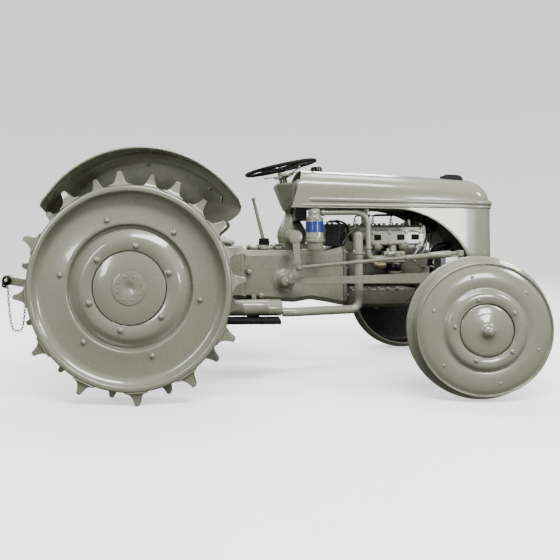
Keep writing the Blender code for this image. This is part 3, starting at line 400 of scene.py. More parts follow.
def lug(work, centre, turn, y, side):
    """One spade lug on a spread foot."""
    outward = Vector((cos(turn), 0, sin(turn)))
    along = Vector((-sin(turn), 0, cos(turn)))
    # radius, half length along the rim, half width across it
    levels = ((RIM_R - 0.004, 0.06, 0.044), (RIM_R + 0.003, 0.058, 0.044), (RIM_R + 0.006, 0.044, 0.041),
        (RIM_R + 0.012, 0.034, 0.037), (RIM_R + 0.022, 0.0265, 0.034), (RIM_R + 0.04, 0.019, 0.03),
        (LUG_TIP_R - 0.014, 0.014, 0.028), (LUG_TIP_R - 0.005, 0.0125, 0.027), (LUG_TIP_R, 0.008, 0.025))
    loops = []
    for radius, half_length, half_width in levels:
        loops.append([centre + outward * radius + along * half_length * a
            + Vector((0, side * y + half_width * b - centre.y, 0)) for a, b in CORNERS])
    loft(work, loops)


def rear_wheel(word, side):
    centre = middle(f"rear_rim_{word}")
    inner, outer = span_y(f"rear_rim_{word}")
    body = f"rear_wheel_{word}"
    hub = Vector((centre.x, 0, centre.z))

    rim = start()
    lip = [(RIM_R, inner + 0.004), (RIM_R - 0.003, inner), (RIM_R - 0.01, inner),
        (RIM_R - 0.012, inner + 0.004), (RIM_R - 0.012, outer - 0.022), (LIP_R + 0.01, outer - 0.016),
        (LIP_R + 0.002, outer - 0.012), (LIP_R, outer - 0.007), (LIP_R + 0.002, outer - 0.003),
        (LIP_R + 0.007, outer - 0.0005), (RIM_R - 0.012, outer), (RIM_R - 0.005, outer - 0.002),
        (RIM_R - 0.001, outer - 0.007), (RIM_R, outer - 0.012)]
    lathe(rim, hub, "Y", lip, 144, side)
    keep(rim, f"rear_rim_{word}_band", SHEET, (f"rear_rim_{word}",), body=body, angle=50)

    lugs = start()
    for row, offset in ((outer - 0.046, FRONT_ROW), (inner + 0.048, FRONT_ROW + pi / LUG_COUNT)):
        for index in range(LUG_COUNT):
            lug(lugs, centre, -pi / 2 + offset + TAU * index / LUG_COUNT, row, side)
    keep(lugs, f"rear_rim_{word}_lugs", SHEET, body=body, bevel=0.003, angle=30)

    web = outer - 0.058
    wall = RIM_R - 0.0125
    face = pushed(web, [(0, 0.004), (0.006, 0.0045), (0.03, 0.015), (0.036, 0.0165), (0.082, 0.0165),
        (0.086, 0.0155), (0.087, 0.012), (0.184, 0.012), (0.186, 0.011), (0.1866, -0.002),
        (0.1914, -0.002), (0.192, 0.0125), (0.194, 0.014), (0.246, 0.014), (0.256, 0.012), (0.268, 0.006),
        (0.292, -0.01), (0.304, -0.0185), (0.314, -0.022), (0.3195, -0.0215), (0.3215, -0.004),
        (0.3245, 0.004), (0.33, 0.006), (0.342, 0.004), (0.45, 0), (0.462, 0.0015), (0.476, 0.008),
        (0.49, 0.021), (0.497, 0.03), (0.499, 0.04), (wall, 0.04)])
    back = pushed(web, [(wall, 0.01), (0.47, -0.01), (0.325, -0.01), (0.312, -0.026), (0.245, -0.01),
        (0.11, -0.01), (0.07, -0.03)]) + [(0.055, inner - 0.011), (0, inner - 0.011)]
    disc = start()
    lathe(disc, hub, "Y", face + back, 144, side)
    keep(disc, f"rear_disc_{word}_pressing", SHEET, (f"rear_disc_{word}",), body=body, angle=50)

    heads = start()
    outward = (0, side, 0)
    for degrees in RING_BOLTS:
        dome_bolt(heads, spot(hub, 0.362, degrees, side * (web + 0.0035)), outward, 0.0125, 0.012, 20)
    for degrees in HUB_BOLTS:
        dome_bolt(heads, spot(hub, 0.217, degrees, side * (web + 0.0138)), outward, 0.0145, 0.013, 20)
    for index in range(8):
        dome_bolt(heads, spot(hub, 0.063, 18 + 45 * index, side * (web + 0.016)), outward, 0.0048, 0.004,
            12)
    keep(heads, f"rear_disc_{word}_bolts", SHEET, body=body, angle=50)


# ------------------------------------------------------------- front wheels
FACE_DIMPLES = (104.0, 43.0, -21.0, -76.0, -140.0, 159.0)
FACE_BOLTS = (105.6, 173.0, -111.0, -41.0, 33.0)


def front_wheel(word, side):
    node = f"front_wheel_{word}"
    hub = Vector((middle(node).x, 0, middle(node).z))
    skid_r = high(node).z - hub.z
    back, tip = span_y(node)
    face = tip - 0.052
    skid = face - 0.077
    rim = skid_r - 0.028
    profile = pushed(tip, [(0, 0), (0.01, -0.001), (0.019, -0.005), (0.027, -0.013), (0.031, -0.019),
        (0.036, -0.024), (0.046, -0.0275), (0.085, -0.03), (0.115, -0.033), (0.127, -0.0365),
        (0.1305, -0.041), (0.131, -0.056), (0.1342, -0.056), (0.1345, -0.0375), (0.138, -0.0345),
        (0.176, -0.0345), (0.187, -0.037), (0.195, -0.043), (0.201, -0.0505), (0.207, -0.0535),
        (0.214, -0.0525), (0.228, -0.049), (0.262, -0.048), (0.292, -0.0505), (0.312, -0.056),
        (0.321, -0.062), (0.3255, -0.0625), (0.33, -0.056), (0.3345, -0.056), (rim, -0.061), (rim, -0.072)])
    profile += [(rim, skid + 0.017), (rim + 0.003, skid + 0.0135), (skid_r - 0.003, skid + 0.012),
        (skid_r, skid + 0.009), (skid_r, skid - 0.009), (skid_r - 0.003, skid - 0.012),
        (rim + 0.003, skid - 0.0135), (rim, skid - 0.017), (rim, back + 0.004), (rim - 0.003, back),
        (rim - 0.01, back), (rim - 0.013, back + 0.004), (rim - 0.013, face - 0.026), (0.3, face - 0.022),
        (0.062, face - 0.022), (0.05, face - 0.04), (0.05, skid - 0.059), (0.024, skid - 0.059),
        (0.024, skid + 0.04), (0, skid + 0.04)]
    wheel = start()
    lathe(wheel, hub, "Y", profile, 128, side)
    keep(wheel, f"front_wheel_{word}_steel", SHEET, (node,), body=node, angle=50)
    # A black sheet behind the disc and inside the rim: painted shade on the wheel's inner side.
    shade_lining = start()
    lathe(shade_lining, hub, "Y", ((0.062, face - 0.0222), (0.3, face - 0.0222), (rim - 0.0135, face - 0.026),
        (rim - 0.0135, back + 0.006), (rim - 0.015, back + 0.006), (rim - 0.015, face - 0.027),
        (0.299, face - 0.0236), (0.062, face - 0.0236)), 96, side)
    keep(shade_lining, f"front_wheel_{word}_back", BLACK, body=node, angle=50)
    heads = start()
    outward = (0, side, 0)
    for degrees in FACE_BOLTS:
        dome_bolt(heads, spot(hub, 0.158, degrees, side * (tip - 0.035)), outward, 0.0095, 0.007, 16)
    for degrees in FACE_DIMPLES:
        dome_bolt(heads, spot(hub, 0.272, degrees, side * (tip - 0.049)), outward, 0.0075, 0.003, 16)
    keep(heads, f"front_wheel_{word}_bolts", SHEET, body=node, angle=50)


# --------------------------------------------------------------------- hood
HOOD_HALF = 0.262
HOOD_SKIN = 0.004
HOOD_REAR = 0.88
ARCH_START = 1.450                # where the lower edge leaves the level for the wheel arch
ARCH_REACH = 0.485
NOSE_START = 1.930                # distances ahead of the rear axle
NOSE_END = 2.045
WINDOW = (0.168, 0.735, 0.975)    # half width, bottom and top of the grille window


def nose_share(x):
    return sqrt(max(0.0, 1 - (max(x - NOSE_START, 0) / (NOSE_END - NOSE_START)) ** 2))


def hood_top(x):
    if x < NOSE_START:
        share = (x - HOOD_REAR) / (NOSE_START - HOOD_REAR)
        return 1.238 - 0.045 * share - 0.033 * share ** 2
    return 1.01 + 0.15 * nose_share(x)


def hood_half(x):
    return HOOD_HALF - 0.085 * (1 - nose_share(x))


def hood_edge(x):
    """Height of the lower edge: level at the rear, then round the wheel arch."""
    if x < ARCH_START:
        return 1.006 - 0.016 * (x - HOOD_REAR) / 0.57
    inside = 1 - ((x - ARCH_START) / ARCH_REACH) ** 2
    if inside <= 0:
        return 0.7
    return max(0.7, 0.5 + 0.49 * sqrt(inside))


def hood_ring(x, arcs=14, sides=12):
    """Points of the outer skin across the hood at x, from the right edge over to the left."""
    top, half, edge = hood_top(x), hood_half(x), hood_edge(x)
    depth = min(0.13, (top - 0.9) * 0.44)
    points = []
    for step in range(sides):
        points.append((half, edge + (top - depth - edge) * step / sides))
    for step in range(arcs + 1):
        turn = pi / 2 * step / arcs
        points.append((half * cos(turn) ** 0.66, top - depth + depth * sin(turn) ** 0.86))
    ring = [(-y, z) for y, z in points] + [(y, z) for y, z in points[-2::-1]]
    lean = 0.32 if x < 0.9 else 0.32 * max(0.0, 1 - (x - 0.9) / 0.18)
    return [at(x + (z - 1.006) * lean, y, z) for y, z in ring]


def hood():
    stations = [HOOD_REAR, 0.9, 0.94, 0.98, 1.02] + [1.08 + 0.04 * step for step in range(10)]
    stations += [1.47 + 0.02 * step for step in range(20)] + [1.866, 1.88, 1.888, 1.8935, 1.9, 1.915, 1.93]
    stations += [NOSE_START + (NOSE_END - NOSE_START) * sin(pi / 2 * step / 9) for step in range(1, 10)]
    shell = start()
    rows = [[shell.verts.new(point) for point in hood_ring(x)] for x in stations]
    bridge(shell, rows, closed=False)
    half, bottom, top = WINDOW
    frame_row = []
    for corner in rows[-1]:
        y = max(-half, min(half, corner.co.y * 0.9))
        z = max(bottom, min(top, corner.co.z))
        frame_row.append(shell.verts.new((corner.co.x, y, z)))
    for index in range(len(frame_row) - 1):
        shell.faces.new((rows[-1][index], rows[-1][index + 1], frame_row[index + 1], frame_row[index]))
    sill = (rows[-1][-1], rows[-1][0], frame_row[0], frame_row[-1])
    shell.faces.new(sill)
    bmesh.ops.remove_doubles(shell, verts=shell.verts, dist=1e-5)
    piece = keep(shell, "hood_shell", SHEET, ("hood",), angle=42)
    thicken(piece, HOOD_SKIN, -1)
    edge = piece.modifiers.new("edges", "BEVEL")
    edge.width = 0.0012
    edge.segments = 2
    edge.limit_method = "ANGLE"
    edge.angle_limit = radians(50)

    beads = start()
    # start, height at the rear, height at the nose, radius, how far it sinks into the sheet
    for begin, rear_z, nose_z, thick, sunk in ((0.948, 1.052, 1.012, 0.019, 0.0125),
            (0.912, 1.019, 0.988, 0.012, 0.0075)):
        for side in SIDES.values():
            path, radii = [], []
            for step in range(41):
                x = begin + (NOSE_END - 0.004 - begin) * step / 40
                z = rear_z + (nose_z - rear_z) * (x - begin) / (NOSE_END - begin)
                path.append(at(x, side * (hood_half(x) - sunk), z))
                radii.append(thick * min(1.0, 0.35 + step / 3))
            tube(beads, path, radii, 20)
    keep(beads, "hood_beads", SHEET, angle=60)

    hem = start()
    for side in SIDES.values():
        path = [at(x, side * (hood_half(x) - 0.003), hood_edge(x) + 0.002) for x in stations if x < 1.8935]
        tube(hem, path, 0.0042, 8)
    keep(hem, "hood_hem", SHEET, angle=60)


def grille():
    half, bottom, top = WINDOW
    back = NOSE_END - 0.016
    bars = start()
    count = 13
    for index in range(count):
        z = bottom + (top - bottom) * (index + 0.5) / count
        for side in SIDES.values():
            loops = []
            for share in (0.0, 0.5, 1.0):
                y = side * (0.012 + (half - 0.024) * share)
                drop = 0.012 * share
                loops.append([at(back - 0.01 * share + dx, y, z - drop + dz)
                    for dx, dz in ((0, -0.004), (0.012, -0.0015), (0.012, 0.0015), (0, 0.004))])
            loft(bars, loops)
    box(bars, at(back - 0.002, -0.012, bottom - 0.006), at(back + 0.015, 0.012, top + 0.006))
    for side in SIDES.values():
        box(bars, at(back - 0.014, side * 0.184 - 0.008, bottom - 0.006),
            at(back - 0.002, side * 0.184 + 0.008, top + 0.006))
    for z in (bottom - 0.006, top - 0.002):
        box(bars, at(back - 0.012, -0.184, z), at(back + 0.000, 0.184, z + 0.008))
    keep(bars, "grille_bars", SHEET, ("grille",), bevel=0.0012)


def caps():
    flap = start()
    x = 1.905
    outline = ((-0.06, 0.006), (-0.06, 0.034), (-0.048, 0.04), (0.03, 0.034), (0.05, 0.024), (0.06, -0.006))
    foot = hood_top(x) + 0.001
    loops = []
    for y in (-0.036, -0.032, 0.032, 0.036):
        inset = 0.004 if abs(y) > 0.034 else 0.0
        loops.append([at(x + dx * (1 - inset * 8), y, foot + dz - inset * (dz > 0.01))
            for dx, dz in outline])
    loft(flap, loops)
    for y in (-0.018, 0.0, 0.018):
        box(flap, at(x - 0.03, y - 0.003, foot + 0.026), at(x + 0.036, y + 0.003, foot + 0.0335))
    keep(flap, "radiator_cap_flap", BLACK, ("radiator_cap",), bevel=0.003, angle=25)

    cap = start()
    centre = middle("fuel_cap")
    top = high("fuel_cap").z
    base = top - 0.034
    centre.x -= 0.014
    lathe(cap, (centre.x, 0, 0), "Z", ((0, base - 0.004), (0.036, base - 0.004), (0.038, base + 0.002),
        (0.034, base + 0.005), (0.034, top - 0.01), (0.03, top - 0.004), (0.012, top - 0.001), (0, top)),
        40)
    for index in range(12):
        turn = TAU * index / 12
        tube(cap, [(centre.x + 0.034 * cos(turn), 0.034 * sin(turn), base + 0.005),
            (centre.x + 0.034 * cos(turn), 0.034 * sin(turn), top - 0.009)], 0.003, 8)
    keep(cap, "fuel_cap_ribbed", BLACK, ("fuel_cap",), angle=40)


# ------------------------------------------------------------------ fenders
FENDER_CENTRE = (0.058, 0.708)
FENDER_R = 0.6


def on_fender(radius, turn, y):
    """A place at a radius from the fender's centre, by its angle from +X towards +Z."""
    return at(FENDER_CENTRE[0] + radius * cos(turn), y, FENDER_CENTRE[1] + radius * sin(turn))


def fender(word, side):
    inner, outer = span_y(f"fender_{word}")
    steps = 64
    # reach across from the inner sheet (0) to the outer edge (1), and drop below the crown
    width = outer - inner
    section = [(0.0, 0.075), (0.0, 0.04)]
    section += [(0.022 * (1 - cos(radians(turn))), 0.022 * (1 - sin(radians(turn))))
        for turn in range(0, 91, 15)]
    section += [(width * share, 0.0) for share in (0.35, 0.6, 0.85)]
    section += [(width - 0.006 + 0.006 * sin(radians(turn)), 0.006 * (1 - cos(radians(turn))))
        for turn in range(0, 91, 18)]
    section += [(width, 0.008), (width - 0.003, 0.011), (width - 0.007, 0.01)]
    skin = start()
    rows = []
    for step in range(steps + 1):
        near_end = min(step, steps - step) / steps
        tuck = max(0.0, 1 - near_end / 0.045)
        row = []
        for reach, drop in section:
            spare = 1 - reach / width
            first, last = 33 - 4 * spare, 149 + 5 * spare
            turn = radians(first + (last - first) * step / steps)
            across = reach * (1 - 0.1 * tuck ** 2)
            row.append(skin.verts.new(on_fender(FENDER_R - drop, turn, side * (inner + across))))
        rows.append(row)
    bridge(skin, rows, closed=False)
    piece = keep(skin, f"fender_{word}_crown", SHEET, angle=40)
    thicken(piece, 0.003, -1)

    # The upright sheet: a fan from the crown's inner edge down to the lower outline.
    lower = ((0.58, 0.985), (0.56, 0.958), (0.505, 0.925), (0.24, 0.8), (0.15, 0.8), (0.15, 0.665),
        (-0.05, 0.665), (-0.05, 0.8), (-0.15, 0.8), (-0.4, 0.915), (-0.455, 0.943))
    turns = [radians(154 - (154 - 29) * step / 32) for step in range(33)]
    sheet = start()
    loft(sheet, [[on_fender(FENDER_R - 0.004, turn, y) for turn in turns] + [at(x, y, z) for x, z in lower]
        for y in (side * (inner + 0.0005), side * (inner + 0.004))])
    strap = [on_fender(0.548, radians(degrees), side * (inner + 0.006)) for degrees in range(42, 139, 3)]
    tube(sheet, [strap[0] + Vector((0.004, 0, -0.045)), strap[0] + Vector((0.01, 0, -0.012))] + strap,
        0.0055, 10)
    for degrees in (48, 88, 128):
        dome_bolt(sheet, on_fender(0.53, radians(degrees), side * (inner + 0.004)), (0, side, 0), 0.009,
            0.008)
    keep(sheet, f"fender_{word}_sheet", SHEET, (f"fender_{word}",), angle=40)

    brace = start()
    tube(brace, bend((at(0.47, side * (inner - 0.004), 0.95), at(0.52, side * (inner - 0.01), 0.905),
        at(0.47, side * (inner - 0.06), 0.86), at(0.3, side * 0.3, 0.76), at(0.12, side * 0.24, 0.7)),
        0.03), 0.008, 10)
    keep(brace, f"fender_{word}_brace", SHEET, angle=50)


# -------------------------------------------------------- refined CAD pieces
def refine(node, material, body, width=0.004, segments=2, angle=32):
    """The CAD solid again with its edges rounded, for castings and forgings."""
    source = bpy.data.objects[node]
    work = start()
    work.from_mesh(source.data)
    bmesh.ops.remove_doubles(work, verts=work.verts, dist=2e-5)
    bmesh.ops.dissolve_limit(work, angle_limit=radians(1.0), verts=work.verts, edges=work.edges)
    return keep(work, f"{node}_finished", material, (node,), body=body, bevel=width, angle=angle,
        segments=segments)


CASTINGS = {"transmission_case": 0.01, "gear_cover": 0.004, "rear_axle_housing": 0.008,
    "lift_cover": 0.008, "engine_block": 0.006, "oil_pan": 0.006, "axle_support": 0.004,
    "front_axle": 0.005, "radius_rod_right": 0.003, "radius_rod_left": 0.003, "seat_spring": 0.002,
    "dash_panel": 0.006, "fuel_tank": 0.008, "clutch_pedal": 0.002, "brake_pedal": 0.002,
    "exhaust_manifold": 0.005, "carburettor": 0.003}
MOVING = {"drop_arm": 0.002, "drag_link": 0.002, "knuckle": 0.003, "lift_arm": 0.002, "lift_rod": 0.002,
    "lower_link": 0.003}


def castings():
    for node, width in CASTINGS.items():
        # the engine block and oil pan take the darker copy of the casting enamel: painted shade
        refine(node, SHADED_CAST if node in ("engine_block", "oil_pan") else CAST, "chassis", width)
    for word in SIDES:
        for kind, width in MOVING.items():
            refine(f"{kind}_{word}", CAST, f"{kind}_{word}", width)
        refine(f"step_{word}", RUBBER, "chassis", 0.002)


# ------------------------------------------------------------ driver's place
def steering():
    lean = radians(11)
    radius = 0.2165
    tilt = Matrix.Translation(at(0.845, 0, 1.262)) @ Matrix.Rotation(-lean, 4, "Y")
    rim = start()
    ring = [on_circle(radius, TAU * step / 96, 0) for step in range(96)]
    tube(rim, ring, 0.0115, 16, closed=True)
    bmesh.ops.transform(rim, matrix=tilt, verts=rim.verts)
    keep(rim, "steering_wheel_rim", RUBBER, ("steering_wheel",), body="steering_wheel", angle=60)
    spider = start()
    for index in range(4):
        turn = TAU * index / 4 + pi / 4
        start_at = on_circle(0.02, turn, -0.01)
        end_at = on_circle(radius, turn, 0)
        tube(spider, [start_at, start_at.lerp(end_at, 0.5) + Vector((0, 0, 0.004)), end_at],
            [0.013, 0.0105, 0.011], 12)
    lathe(spider, (0, 0, 0), "Z", ((0, -0.029), (0.022, -0.029), (0.027, -0.02), (0.03, -0.004),
        (0.026, 0.004), (0.014, 0.007), (0.012, 0.012), (0, 0.013)), 32)
    bmesh.ops.transform(spider, matrix=tilt, verts=spider.verts)
    keep(spider, "steering_wheel_spider", BLACK, body="steering_wheel", angle=45)

    refine("steering_housing", CAST, "chassis", 0.003)
    quadrant = start()
    loops = []
    for step in range(19):
        turn = radians(-100 + 200 * step / 18)
        loops.append([on_circle(rad, turn, z) for rad, z in ((0.05, -0.062), (0.074, -0.058),
            (0.074, -0.053), (0.05, -0.056))])
    loft(quadrant, loops)
    lathe(quadrant, (0, 0, 0), "Z", ((0.0275, -0.07), (0.052, -0.064), (0.052, -0.056), (0.0275, -0.052)),
        32)
    for turn, reach, lift in ((-0.55, 0.125, 0.02), (-0.15, 0.112, -0.004), (2.6, 0.115, 0.006)):
        root = on_circle(0.03, turn, -0.052)
        knee = on_circle(0.07, turn, -0.046)
        tip = on_circle(reach, turn, -0.046 + lift)
        tube(quadrant, [root, knee, tip], 0.0042, 10)
        lathe(quadrant, tip, (tip - knee), ((0, -0.008), (0.006, -0.006), (0.008, 0.0), (0.006, 0.006),
            (0, 0.008)), 14)
    bmesh.ops.transform(quadrant, matrix=tilt, verts=quadrant.verts)
    keep(quadrant, "throttle_quadrant", CAST, angle=40)

    rods = start()
    for y in (-0.034, 0.034):
        tube(rods, [tilt @ Vector((0.01, y, -0.06)), at(0.888, y * 1.1, 1.01), at(0.9, y * 1.3, 0.93)],
            0.0045, 8)
    collar(rods, at(0.902, 0, 0), "Z", 0.03, 0.036, 0.982, 0.996, 24)
    keep(rods, "column_rods", CAST, angle=40)


def gear_lever():
    foot = low("gear_lever").z
    top = high("gear_lever").z
    boot = start()
    centre = at(0.735, 0, 0)
    lathe(boot, centre, "Z", pushed(foot, ((0, 0), (0.034, 0), (0.036, 0.006), (0.032, 0.01),
        (0.036, 0.017), (0.035, 0.022), (0.03, 0.025), (0.034, 0.032), (0.03, 0.038), (0.014, 0.04),
        (0, 0.04))), 32)
    keep(boot, "gear_lever_boot", RUBBER, ("gear_lever",), angle=60)
    stick = start()
    end = at(0.669, 0, top)
    base = at(0.731, 0, foot + 0.03)
    tube(stick, [base, base.lerp(end, 0.5), base.lerp(end, 0.94)], [0.012, 0.0105, 0.0095], 14)
    tube(stick, [base.lerp(end, 0.935), base.lerp(end, 0.955), base.lerp(end, 0.985), end],
        [0.0105, 0.0125, 0.0125, 0.0095], 14)
    keep(stick, "gear_lever_stick", CAST, angle=50)


def seat():
    x0 = (low("seat").x + high("seat").x) / 2
    z0 = low("seat").z
    pan = start()
    rings = ((0.0, 0.0, 0.0), (0.05, 0.05, 0.001), (0.09, 0.1, 0.004), (0.13, 0.145, 0.014),
        (0.165, 0.178, 0.034), (0.188, 0.202, 0.062), (0.199, 0.216, 0.092), (0.204, 0.224, 0.112),
        (0.2045, 0.2248, 0.118))
    rows = []
    steps = 72
    for back, wide, rise in rings:
        row = []
        for step in range(steps):
            turn = TAU * step / steps
            ahead = cos(turn)
            share = 0.5 - 0.5 * tanh((ahead - 0.25) * 3.0)
            lift = rise * (0.42 + 0.58 * share)
            row.append(pan.verts.new((x0 + back * ahead, wide * sin(turn), z0 + lift)))
        rows.append(row)
    bridge(pan, rows)
    piece = keep(pan, "seat_pan", SHEET, ("seat",), angle=60)
    thicken(piece, 0.004, 1)


# ------------------------------------------------------------ engine dressing
STACK_X, STACK_Y = 1.268, -0.232  # the manifold's outlet, with the exhaust pipe below it
MANIFOLD_Y = -0.16
MUFFLER_Y, MUFFLER_Z = -0.33, 0.432
CARBURETTOR_Y = -0.1703


def air_cleaner():
    centre = Vector((low("air_cleaner").x + 0.058, low("air_cleaner").y + 0.058, 0))
    can = start()
    lathe(can, centre, "Z", ((0, 0.7505), (0.036, 0.7505), (0.043, 0.753), (0.047, 0.759), (0.048, 0.799),
        (0.052, 0.8015), (0.0575, 0.804), (0.058, 0.81), (0.0575, 0.816), (0.053, 0.8185), (0.0505, 0.822),
        (0.0505, 0.93), (0.049, 0.937), (0.04, 0.9475), (0.036, 0.953), (0.0355, 0.968), (0.0375, 0.97),
        (0.0375, 0.976), (0.0355, 0.978), (0.0355, 0.994), (0.033, 0.996), (0, 0.996)), 48)
    tube(can, bend((centre + Vector((0.01, 0.02, 0.85)), at(1.06, -0.14, 0.85), at(1.06, -0.085, 0.85),
        at(1.06, -0.085, 0.7705)), 0.02), 0.01, 12)
    box(can, centre + Vector((-0.012, -0.06, 0.803)), centre + Vector((0.012, -0.048, 0.817)))
    keep(can, "air_cleaner_can", SHEET, ("air_cleaner",), angle=45)
    band = start()
    collar(band, centre, "Z", 0.05, 0.0514, 0.858, 0.921, 48)
    keep(band, "air_cleaner_band", BLUE, angle=45)
    clips = start()
    for z in (0.938, 0.826):
        collar(clips, centre, "Z", 0.05, 0.0525, z - 0.004, z + 0.004, 48)
    keep(clips, "air_cleaner_clips", SHEET, angle=45)

    pipe = start()
    y = centre.y
    start_x = centre.x - REAR_X + 0.0363
    upright = 1.327
    route = bend((at(start_x, y, 0.972), at(upright, y, 0.972), at(upright, y, 0.78)), 0.09, 12)
    route += bend((at(upright, y, 0.78), at(upright, y, 0.7), at(1.41, y + 0.039, 0.7)), 0.045, 8)[1:]
    route.append(at(1.4247, y + 0.039, 0.7))
    tube(pipe, route, 0.0165, 20)
    for point, along in ((at(start_x + 0.012, y, 0.972), "X"), (at(upright, y, 0.765), "Z")):
        lathe(pipe, point, along, ((0.016, -0.008), (0.0205, -0.008), (0.0215, 0.0), (0.0205, 0.008),
            (0.016, 0.008)), 24)
    keep(pipe, "air_pipe_tube", SHEET, ("air_pipe",), angle=45)


def exhaust():
    pipe = start()
    route = bend((at(STACK_X, STACK_Y, 0.7277), at(STACK_X, STACK_Y, 0.405), at(1.15, -0.252, 0.405),
        at(0.87, MUFFLER_Y, 0.405), at(0.8103, MUFFLER_Y, 0.405)), 0.11, 14)
    tube(pipe, route, 0.0255, 24)
    for z in (0.716, 0.69):
        collar(pipe, at(STACK_X, STACK_Y, 0), "Z", 0.024, 0.031, z - 0.006, z + 0.006, 28)
    keep(pipe, "exhaust_pipe_tube", SHEET, ("exhaust_pipe",), angle=50)

    can = start()
    centre = at(0, MUFFLER_Y, MUFFLER_Z)
    lathe(can, centre, "X", ((0, 0.495), (0.03, 0.495), (0.041, 0.499), (0.0465, 0.507), (0.0465, 0.585),
        (0.048, 0.588), (0.048, 0.594), (0.0465, 0.597), (0.0465, 0.722), (0.048, 0.725), (0.048, 0.731),
        (0.0465, 0.734), (0.0465, 0.798), (0.041, 0.806), (0.03, 0.81), (0, 0.81)), 48)
    box(can, at(0.64, -0.31, 0.42), at(0.665, -0.1483, 0.492))
    tube(can, [at(0.5, MUFFLER_Y, MUFFLER_Z), at(0.44, MUFFLER_Y, MUFFLER_Z), at(0.4, MUFFLER_Y, 0.428)],
        0.018, 20)
    keep(can, "muffler_can", SHEET, ("muffler",), angle=45)


def manifold():
    ports = start()
    for left, right in ((1.372, 1.412), (1.506, 1.548), (1.588, 1.634)):
        box(ports, at(left, -0.1955, 0.806), at(right, -0.1925, 0.838))
    keep(ports, "manifold_ports", HOLE)
    lumps = start()
    for x in (1.392, 1.548):
        lathe(lumps, at(x, MANIFOLD_Y, 0), "Z", ((0, 0.742), (0.02, 0.744), (0.031, 0.756), (0.035, 0.776),
            (0.034, 0.79), (0, 0.79)), 28)
    for x in (1.365, 1.462, 1.56, 1.64):
        hex_bolt(lumps, at(x, -0.193, 0.85), (0, -1, 0), 0.009, 0.008)
        hex_bolt(lumps, at(x, -0.193, 0.787), (0, -1, 0), 0.009, 0.008)
    keep(lumps, "manifold_runners", CAST, angle=45)

    stack = start()
    tube(stack, bend((at(1.37, MANIFOLD_Y, 0.828), at(STACK_X, MANIFOLD_Y, 0.828),
        at(STACK_X, STACK_Y, 0.828)), 0.035), 0.0265, 20)
    lathe(stack, at(STACK_X, STACK_Y, 0), "Z", ((0, 0.742), (0.0275, 0.742), (0.0275, 0.842),
        (0.024, 0.852), (0.012, 0.858), (0, 0.859)), 32)
    for turn in (0.6, 3.7):
        hex_bolt(stack, at(STACK_X + 0.033 * cos(turn), STACK_Y + 0.033 * sin(turn), 0.742), (0, 0, 1),
            0.007, 0.01)
    keep(stack, "manifold_outlet", CAST, angle=45)


def carburettor():
    bowl = start()
    centre = at(1.495, CARBURETTOR_Y, 0)
    lathe(bowl, centre, "Z", ((0, 0.604), (0.016, 0.604), (0.02, 0.61), (0.034, 0.616), (0.0395, 0.626),
        (0.0395, 0.664), (0.036, 0.67), (0, 0.67)), 36)
    keep(bowl, "carburettor_bowl", BLACK, angle=45)
    levers = start()
    tube(levers, bend((at(1.44, -0.205, 0.722), at(1.44, -0.228, 0.722), at(1.47, -0.228, 0.735),
        at(1.52, -0.222, 0.728)), 0.01), 0.0045, 10)
    hex_bolt(levers, at(1.505, -0.21, 0.712), (0, -1, 0), 0.01, 0.014)
    lathe(levers, at(1.455, CARBURETTOR_Y, 0), "Z", ((0, 0.73), (0.01, 0.73), (0.01, 0.752),
        (0.006, 0.756), (0, 0.756)), 16)
    keep(levers, "carburettor_levers", STEEL, angle=40)
    elbow = start()
    tube(elbow, bend((at(1.352, -0.226, 0.69), at(1.366, -0.226, 0.66), at(1.424, -0.2, 0.66)), 0.02),
        0.023, 18)
    keep(elbow, "intake_elbow", BRASS, angle=50)


def control_rods():
    rods = start()
    tube(rods, [at(1.262, -0.255, 0.905), at(1.225, -0.2, 0.85), at(1.19, -0.17, 0.785)], 0.0045, 8)
    tube(rods, bend((at(1.675, -0.15, 0.885), at(1.672, -0.155, 0.82), at(1.64, -0.16, 0.75),
        at(1.6, -0.165, 0.7)), 0.03), 0.0045, 8)
    tube(rods, bend((at(1.7, -0.135, 0.815), at(1.69, -0.15, 0.76), at(1.655, -0.15, 0.715)), 0.02),
        0.0045, 8)
    tube(rods, bend((at(1.545, -0.17, 0.69), at(1.6, -0.185, 0.69), at(1.64, -0.175, 0.65),
        at(1.69, -0.12, 0.64)), 0.02), 0.005, 8)
    keep(rods, "control_rods", STEEL, angle=60)


def ignition():
    plugs = start()
    leads = start()
    for index, x in enumerate((1.29, 1.4, 1.51, 1.62)):
        place = at(x, -0.06, 0.895)
        lathe(plugs, place, "Z", ((0, -0.006), (0.014, -0.006), (0.014, 0.006), (0.009, 0.008),
            (0.009, 0.03), (0.005, 0.034), (0, 0.046)), 16)
        high_z = 0.952 + 0.006 * index
        tube(leads, bend((place + Vector((0, 0, 0.04)), place + Vector((0, -0.02, high_z - 0.895)),
            at(1.66, -0.085 + 0.008 * index, high_z), at(1.735, -0.03, 0.86)), 0.03), 0.0042, 8)
    keep(plugs, "spark_plugs", STEEL, angle=40)
    keep(leads, "plug_leads", RUBBER, angle=60)


def cylinder_head():
    head = start()
    box(head, at(1.235, -0.112, 0.842), at(1.69, 0.112, 0.846))
    for x in (1.245, 1.345, 1.455, 1.565, 1.675):
        for y in (-0.105, 0.0, 0.105):
            hex_bolt(head, at(x, y, 0.895), (0, 0, 1), 0.009, 0.012)
    collar(head, at(1.64, 0, 0.0), "Z", 0, 0.03, 0.89, 0.915, 24)
    keep(head, "head_bolts", CAST, angle=40)


